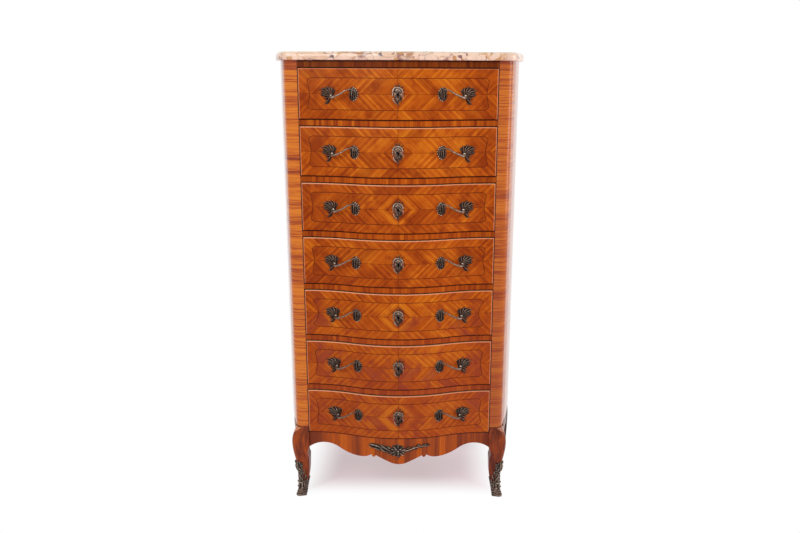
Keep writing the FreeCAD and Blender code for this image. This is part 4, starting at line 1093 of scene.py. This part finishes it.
def shoe_mesh(side):
    """Leaves and mouldings of a shoe, over the plain cast shell."""
    bm = bmesh.new()
    # three mouldings round the toe, fullest at its corner; x in millimetres
    mouldings = ((0.0052, 0.0034, 0.0046), (0.0138, 0.0028, 0.0036), (0.0208, 0.0020, 0.0027))
    for z, out, radius in mouldings:
        swells = {x: 1.0 - 0.6 * min(1.0, abs(x) / 22) for x in range(-24, 29, 4)}
        rod(bm, [(x / 1000, out * swell, z, radius * swell) for x, swell in swells.items()], 10, 0.6)
    # along, height, direction, length, width, bend and relief of each leaf
    pairs = (
        # round the toe
        (0.004, 0.024, 62, 0.030, 0.011, 0.4, 0.0035),
        # up the corner
        (0.003, 0.050, 84, 0.034, 0.010, 0.15, 0.0034), (0.007, 0.048, 66, 0.022, 0.008, 0.6, 0.0036),
        # tips over the edges of the plain shell
        (0.009, 0.112, 74, 0.017, 0.0070, 0.3, 0.0032), (0.004, 0.114, 88, 0.019, 0.0070, 0.0, 0.0036),
        (0.008, 0.096, 40, 0.015, 0.0075, 0.5, 0.0032), (0.010, 0.078, 34, 0.017, 0.0080, 0.5, 0.0032),
        (0.012, 0.060, 34, 0.020, 0.0085, 0.5, 0.0032), (0.020, 0.044, 62, 0.020, 0.0080, 0.3, 0.0030),
        # the curled top
        (0.002, 0.094, 78, 0.028, 0.010, 0.2, 0.0064), (0.004, 0.088, 52, 0.020, 0.008, 0.7, 0.0056),
    )
    mirrored = tuple((-x, z, 180 - direction, length, width, -bend, height)
                     for x, z, direction, length, width, bend, height in pairs)
    single = (
        (0.0, 0.022, 90, 0.036, 0.012, 0.0, 0.0040), (0.0, 0.070, 90, 0.038, 0.010, 0.0, 0.0042),
        (0.0, 0.100, 90, 0.026, 0.011, 0.0, 0.0078), (0.016, 0.024, 80, 0.024, 0.009, 0.3, 0.0032),
        (-0.016, 0.024, 100, 0.022, 0.009, -0.3, 0.0032),
    )
    for x, z, direction, length, width, bend, height in pairs + mirrored + single:
        blade(bm, x, z, direction, length, width, height, bend, 0.0020)
    for x, z in ((0.008, 0.030), (-0.008, 0.030), (0.005, 0.049), (-0.004, 0.050),
                 (0.000, 0.070), (0.003, 0.090)):
        bead(bm, x, 0.0050, z, 0.0028)
    lay_on_leg(bm, side)
    return bm


# ---------------------------------------------------------------- studio

def floor_material(studio):
    """Pale floor that keeps the chest's shadow and fades to plain white further off."""
    f = Finish("pale_floor")
    vector, x, y, _ = f.place()
    soft = f.noise(vector, 1.5, 1.0)
    fine = f.noise(vector, 260.0, 2.0)
    colour = f.shade(studio.floor, soft * 0.02 + fine * 0.1 + 0.93)
    diffuse = f.node("ShaderNodeBsdfDiffuse", {}, {"Color": colour}, "BSDF")
    glow = f.node("ShaderNodeEmission", {}, {"Color": (1.0, 1.0, 1.0), "Strength": 1.0}, "Emission")
    in_front = (FRONT_Y - y).ramp(-0.15, 0.0)
    behind = y.ramp(0.1, 0.6)
    away = abs(x).ramp(0.2, 0.36).most(in_front).most(behind)
    white = f.background_seen() * (away * 0.62 + 0.38)
    mixed = f.node("ShaderNodeMixShader", {}, {0: white, 1: diffuse, 2: glow})
    f.node("ShaderNodeOutputMaterial", {}, {"Surface": mixed})
    return f.owner


def build_world(studio):
    """A white surround that the camera and the polished surfaces see, dimmer as a source of light."""
    f = Finish("white_surround", "worlds")
    strength = f.background_seen() * (1.0 - studio.fill) + studio.fill
    back = f.node("ShaderNodeBackground", {}, {"Color": (1.0, 1.0, 1.0), "Strength": strength})
    f.node("ShaderNodeOutputWorld", {}, {"Surface": back})
    bpy.context.scene.world = f.owner


def build_floor(studio):
    bm = bmesh.new()
    bmesh.ops.create_grid(bm, x_segments=1, y_segments=1, size=9.0)
    mesh = bpy.data.meshes.new("floor")
    bm.to_mesh(mesh)
    bm.free()
    mesh.materials.append(floor_material(studio))
    floor = bpy.data.objects.new("floor", mesh)
    bpy.context.scene.collection.objects.link(floor)


def build_lamps(studio):
    """Three soft lamps that face the middle of the chest."""
    target = Vector((0, 0, 0.75))
    lamps = (
        ("key_lamp", (-1.3, -2.6, 2.5), 1.6, 1.2, studio.key),
        ("top_lamp", (0.1, -0.3, 3.1), 2.4, 1.6, studio.top),
        ("side_lamp", (2.6, -0.6, 1.5), 1.4, 2.2, studio.side),
    )
    for name, place, width, height, power in lamps:
        light = bpy.data.lights.new(name, "AREA")
        light.shape = "RECTANGLE"
        light.size = width
        light.size_y = height
        light.energy = power
        lamp = bpy.data.objects.new(name, light)
        bpy.context.scene.collection.objects.link(lamp)
        lamp.location = place
        lamp.rotation_euler = (target - Vector(place)).to_track_quat("-Z", "Y").to_euler()


def build_camera(studio):
    data = bpy.data.cameras.new("camera")
    data.lens = studio.lens
    data.sensor_width = 36.0
    data.shift_x = studio.shift
    camera = bpy.data.objects.new("camera", data)
    bpy.context.scene.collection.objects.link(camera)
    camera.location = (studio.camera_side, FRONT_Y - studio.camera_distance, studio.camera_height)
    level = Matrix.Rotation(math.pi / 2 - studio.pitch, 3, "X")
    camera.rotation_euler = (level @ Matrix.Rotation(studio.roll, 3, "Z")).to_euler()
    bpy.context.scene.camera = camera


# ---------------------------------------------------------------- operators

class CHEST_OT_drawer_fronts(bpy.types.Operator):
    """Make the seven serpentine drawer fronts with their marquetry"""
    bl_idname = "chest.drawer_fronts"
    bl_label = "Drawer fronts"

    def execute(self, context):
        material = marquetry_material(context.scene.chest_veneers)
        plain = oak_material(context.scene.chest_veneers)
        for number in DRAWERS:
            name = "drawer_%d_marquetry" % number
            finish_piece(name, drawer_front_mesh(number), material, "drawer_%d" % number,
                         ["drawer_%d_front" % number], second=plain)
        return {"FINISHED"}


class CHEST_OT_carcase(bpy.types.Operator):
    """Veneer the rails, posts, sides and aprons"""
    bl_idname = "chest.carcase"
    bl_label = "Carcase"

    def execute(self, context):
        veneers = context.scene.chest_veneers
        posts = ["%s_post_%s" % (end, side) for end in ("front", "rear") for side in ("right", "left")]
        dress(rail_material(veneers), ["front_rails"])
        dress(stile_material(veneers), posts + ["side_aprons"])
        dress(side_material(veneers), ["side_panel_right", "side_panel_left"])
        dress(apron_material(veneers), ["front_apron"])
        return {"FINISHED"}


class CHEST_OT_inner_wood(bpy.types.Operator):
    """Give the drawer boxes, runners, boards and back their plain oak"""
    bl_idname = "chest.inner_wood"
    bl_label = "Inner wood"

    def execute(self, context):
        nodes = ["drawer_%d_box" % number for number in DRAWERS]
        nodes += ["rear_rails", "drawer_runners", "drawer_stops"]
        nodes += ["back_panel", "top_board", "bottom_board"]
        dress(bpy.data.materials["plain_oak"], nodes)
        return {"FINISHED"}


class CHEST_OT_marble(bpy.types.Operator):
    """Give the top its variegated marble"""
    bl_idname = "chest.marble"
    bl_label = "Marble top"

    def execute(self, context):
        dress(marble_material(context.scene.chest_stone), ["marble_top"])
        return {"FINISHED"}


class CHEST_OT_locks(bpy.types.Operator):
    """Give the locks and bolts their filed iron"""
    bl_idname = "chest.locks"
    bl_label = "Locks"

    def execute(self, context):
        nodes = ["drawer_%d_%s" % (number, part) for number in DRAWERS for part in ("lock", "bolt")]
        dress(iron_material(context.scene.chest_metal), nodes)
        return {"FINISHED"}


class CHEST_OT_pulls(bpy.types.Operator):
    """Cast the pulls and the escutcheons of every drawer"""
    bl_idname = "chest.pulls"
    bl_label = "Pulls and escutcheons"

    def execute(self, context):
        metal = context.scene.chest_metal
        bronze = bronze_material(metal)
        dark = keyhole_material()
        for number in DRAWERS:
            middle = drawer_middle(number)
            body = "drawer_%d" % number
            pulls = joined([pull_mesh(metal, middle, side) for side in (1, -1)])
            finish_piece(body + "_cast_pulls", pulls, bronze, body,
                         [body + "_pulls"], CASTING_SHARP)
            finish_piece(body + "_cast_escutcheon", escutcheon_mesh(middle), bronze, body,
                         [body + "_escutcheon"], CASTING_SHARP)
            finish_piece(body + "_keyhole", keyhole_mesh(middle), dark, body, [])
        return {"FINISHED"}


class CHEST_OT_mounts(bpy.types.Operator):
    """Cast the spray on the apron and the shoes on the front feet"""
    bl_idname = "chest.mounts"
    bl_label = "Apron mount and sabots"

    def execute(self, context):
        bronze = bpy.data.materials["aged_bronze"]
        finish_piece("apron_spray", apron_mount_mesh(), bronze, "carcase",
                     ["apron_mount"], CASTING_SHARP)
        shoes = joined([shoe_mesh(side) for side in (1, -1)])
        finish_piece("sabot_leaves", shoes, bronze, "carcase", [], CASTING_SHARP)
        dress(sabot_material(context.scene.chest_metal), ["sabots"])
        return {"FINISHED"}


class CHEST_OT_studio(bpy.types.Operator):
    """Set up the floor, the lamps and the camera"""
    bl_idname = "chest.studio"
    bl_label = "Studio"

    def execute(self, context):
        studio = context.scene.chest_studio
        build_floor(studio)
        build_world(studio)
        build_lamps(studio)
        build_camera(studio)
        context.scene.view_settings.view_transform = "Standard"
        return {"FINISHED"}


class CHEST_PT_panel(bpy.types.Panel):
    """Sizes, colours and steps of the tall chest"""
    bl_idname = "CHEST_PT_panel"
    bl_label = "Tall chest"
    bl_space_type = "VIEW_3D"
    bl_region_type = "UI"
    bl_category = "Tall chest"

    def draw(self, context):
        for group in GROUPS:
            settings = getattr(context.scene, group)
            column = self.layout.box().column()
            for name in settings.__annotations__:
                column.prop(settings, name)
        for step in STEPS:
            self.layout.operator(step.bl_idname)


STEPS = (CHEST_OT_studio, CHEST_OT_drawer_fronts, CHEST_OT_carcase, CHEST_OT_inner_wood,
         CHEST_OT_marble, CHEST_OT_locks, CHEST_OT_pulls, CHEST_OT_mounts)
GROUPS = {"chest_veneers": ChestVeneers, "chest_stone": ChestStone, "chest_metal": ChestMetal,
          "chest_studio": ChestStudio}


def register():
    for group in GROUPS.values():
        bpy.utils.register_class(group)
    for name, group in GROUPS.items():
        setattr(bpy.types.Scene, name, bpy.props.PointerProperty(type=group))
    for cls in STEPS + (CHEST_PT_panel,):
        bpy.utils.register_class(cls)


def unregister():
    for cls in reversed(STEPS + (CHEST_PT_panel,)):
        bpy.utils.unregister_class(cls)
    for name in GROUPS:
        delattr(bpy.types.Scene, name)
    for group in reversed(GROUPS.values()):
        bpy.utils.unregister_class(group)


def main():
    register()
    for step in STEPS:
        getattr(bpy.ops.chest, step.bl_idname.split(".")[1])()


if __name__ == "__main__":
    main()
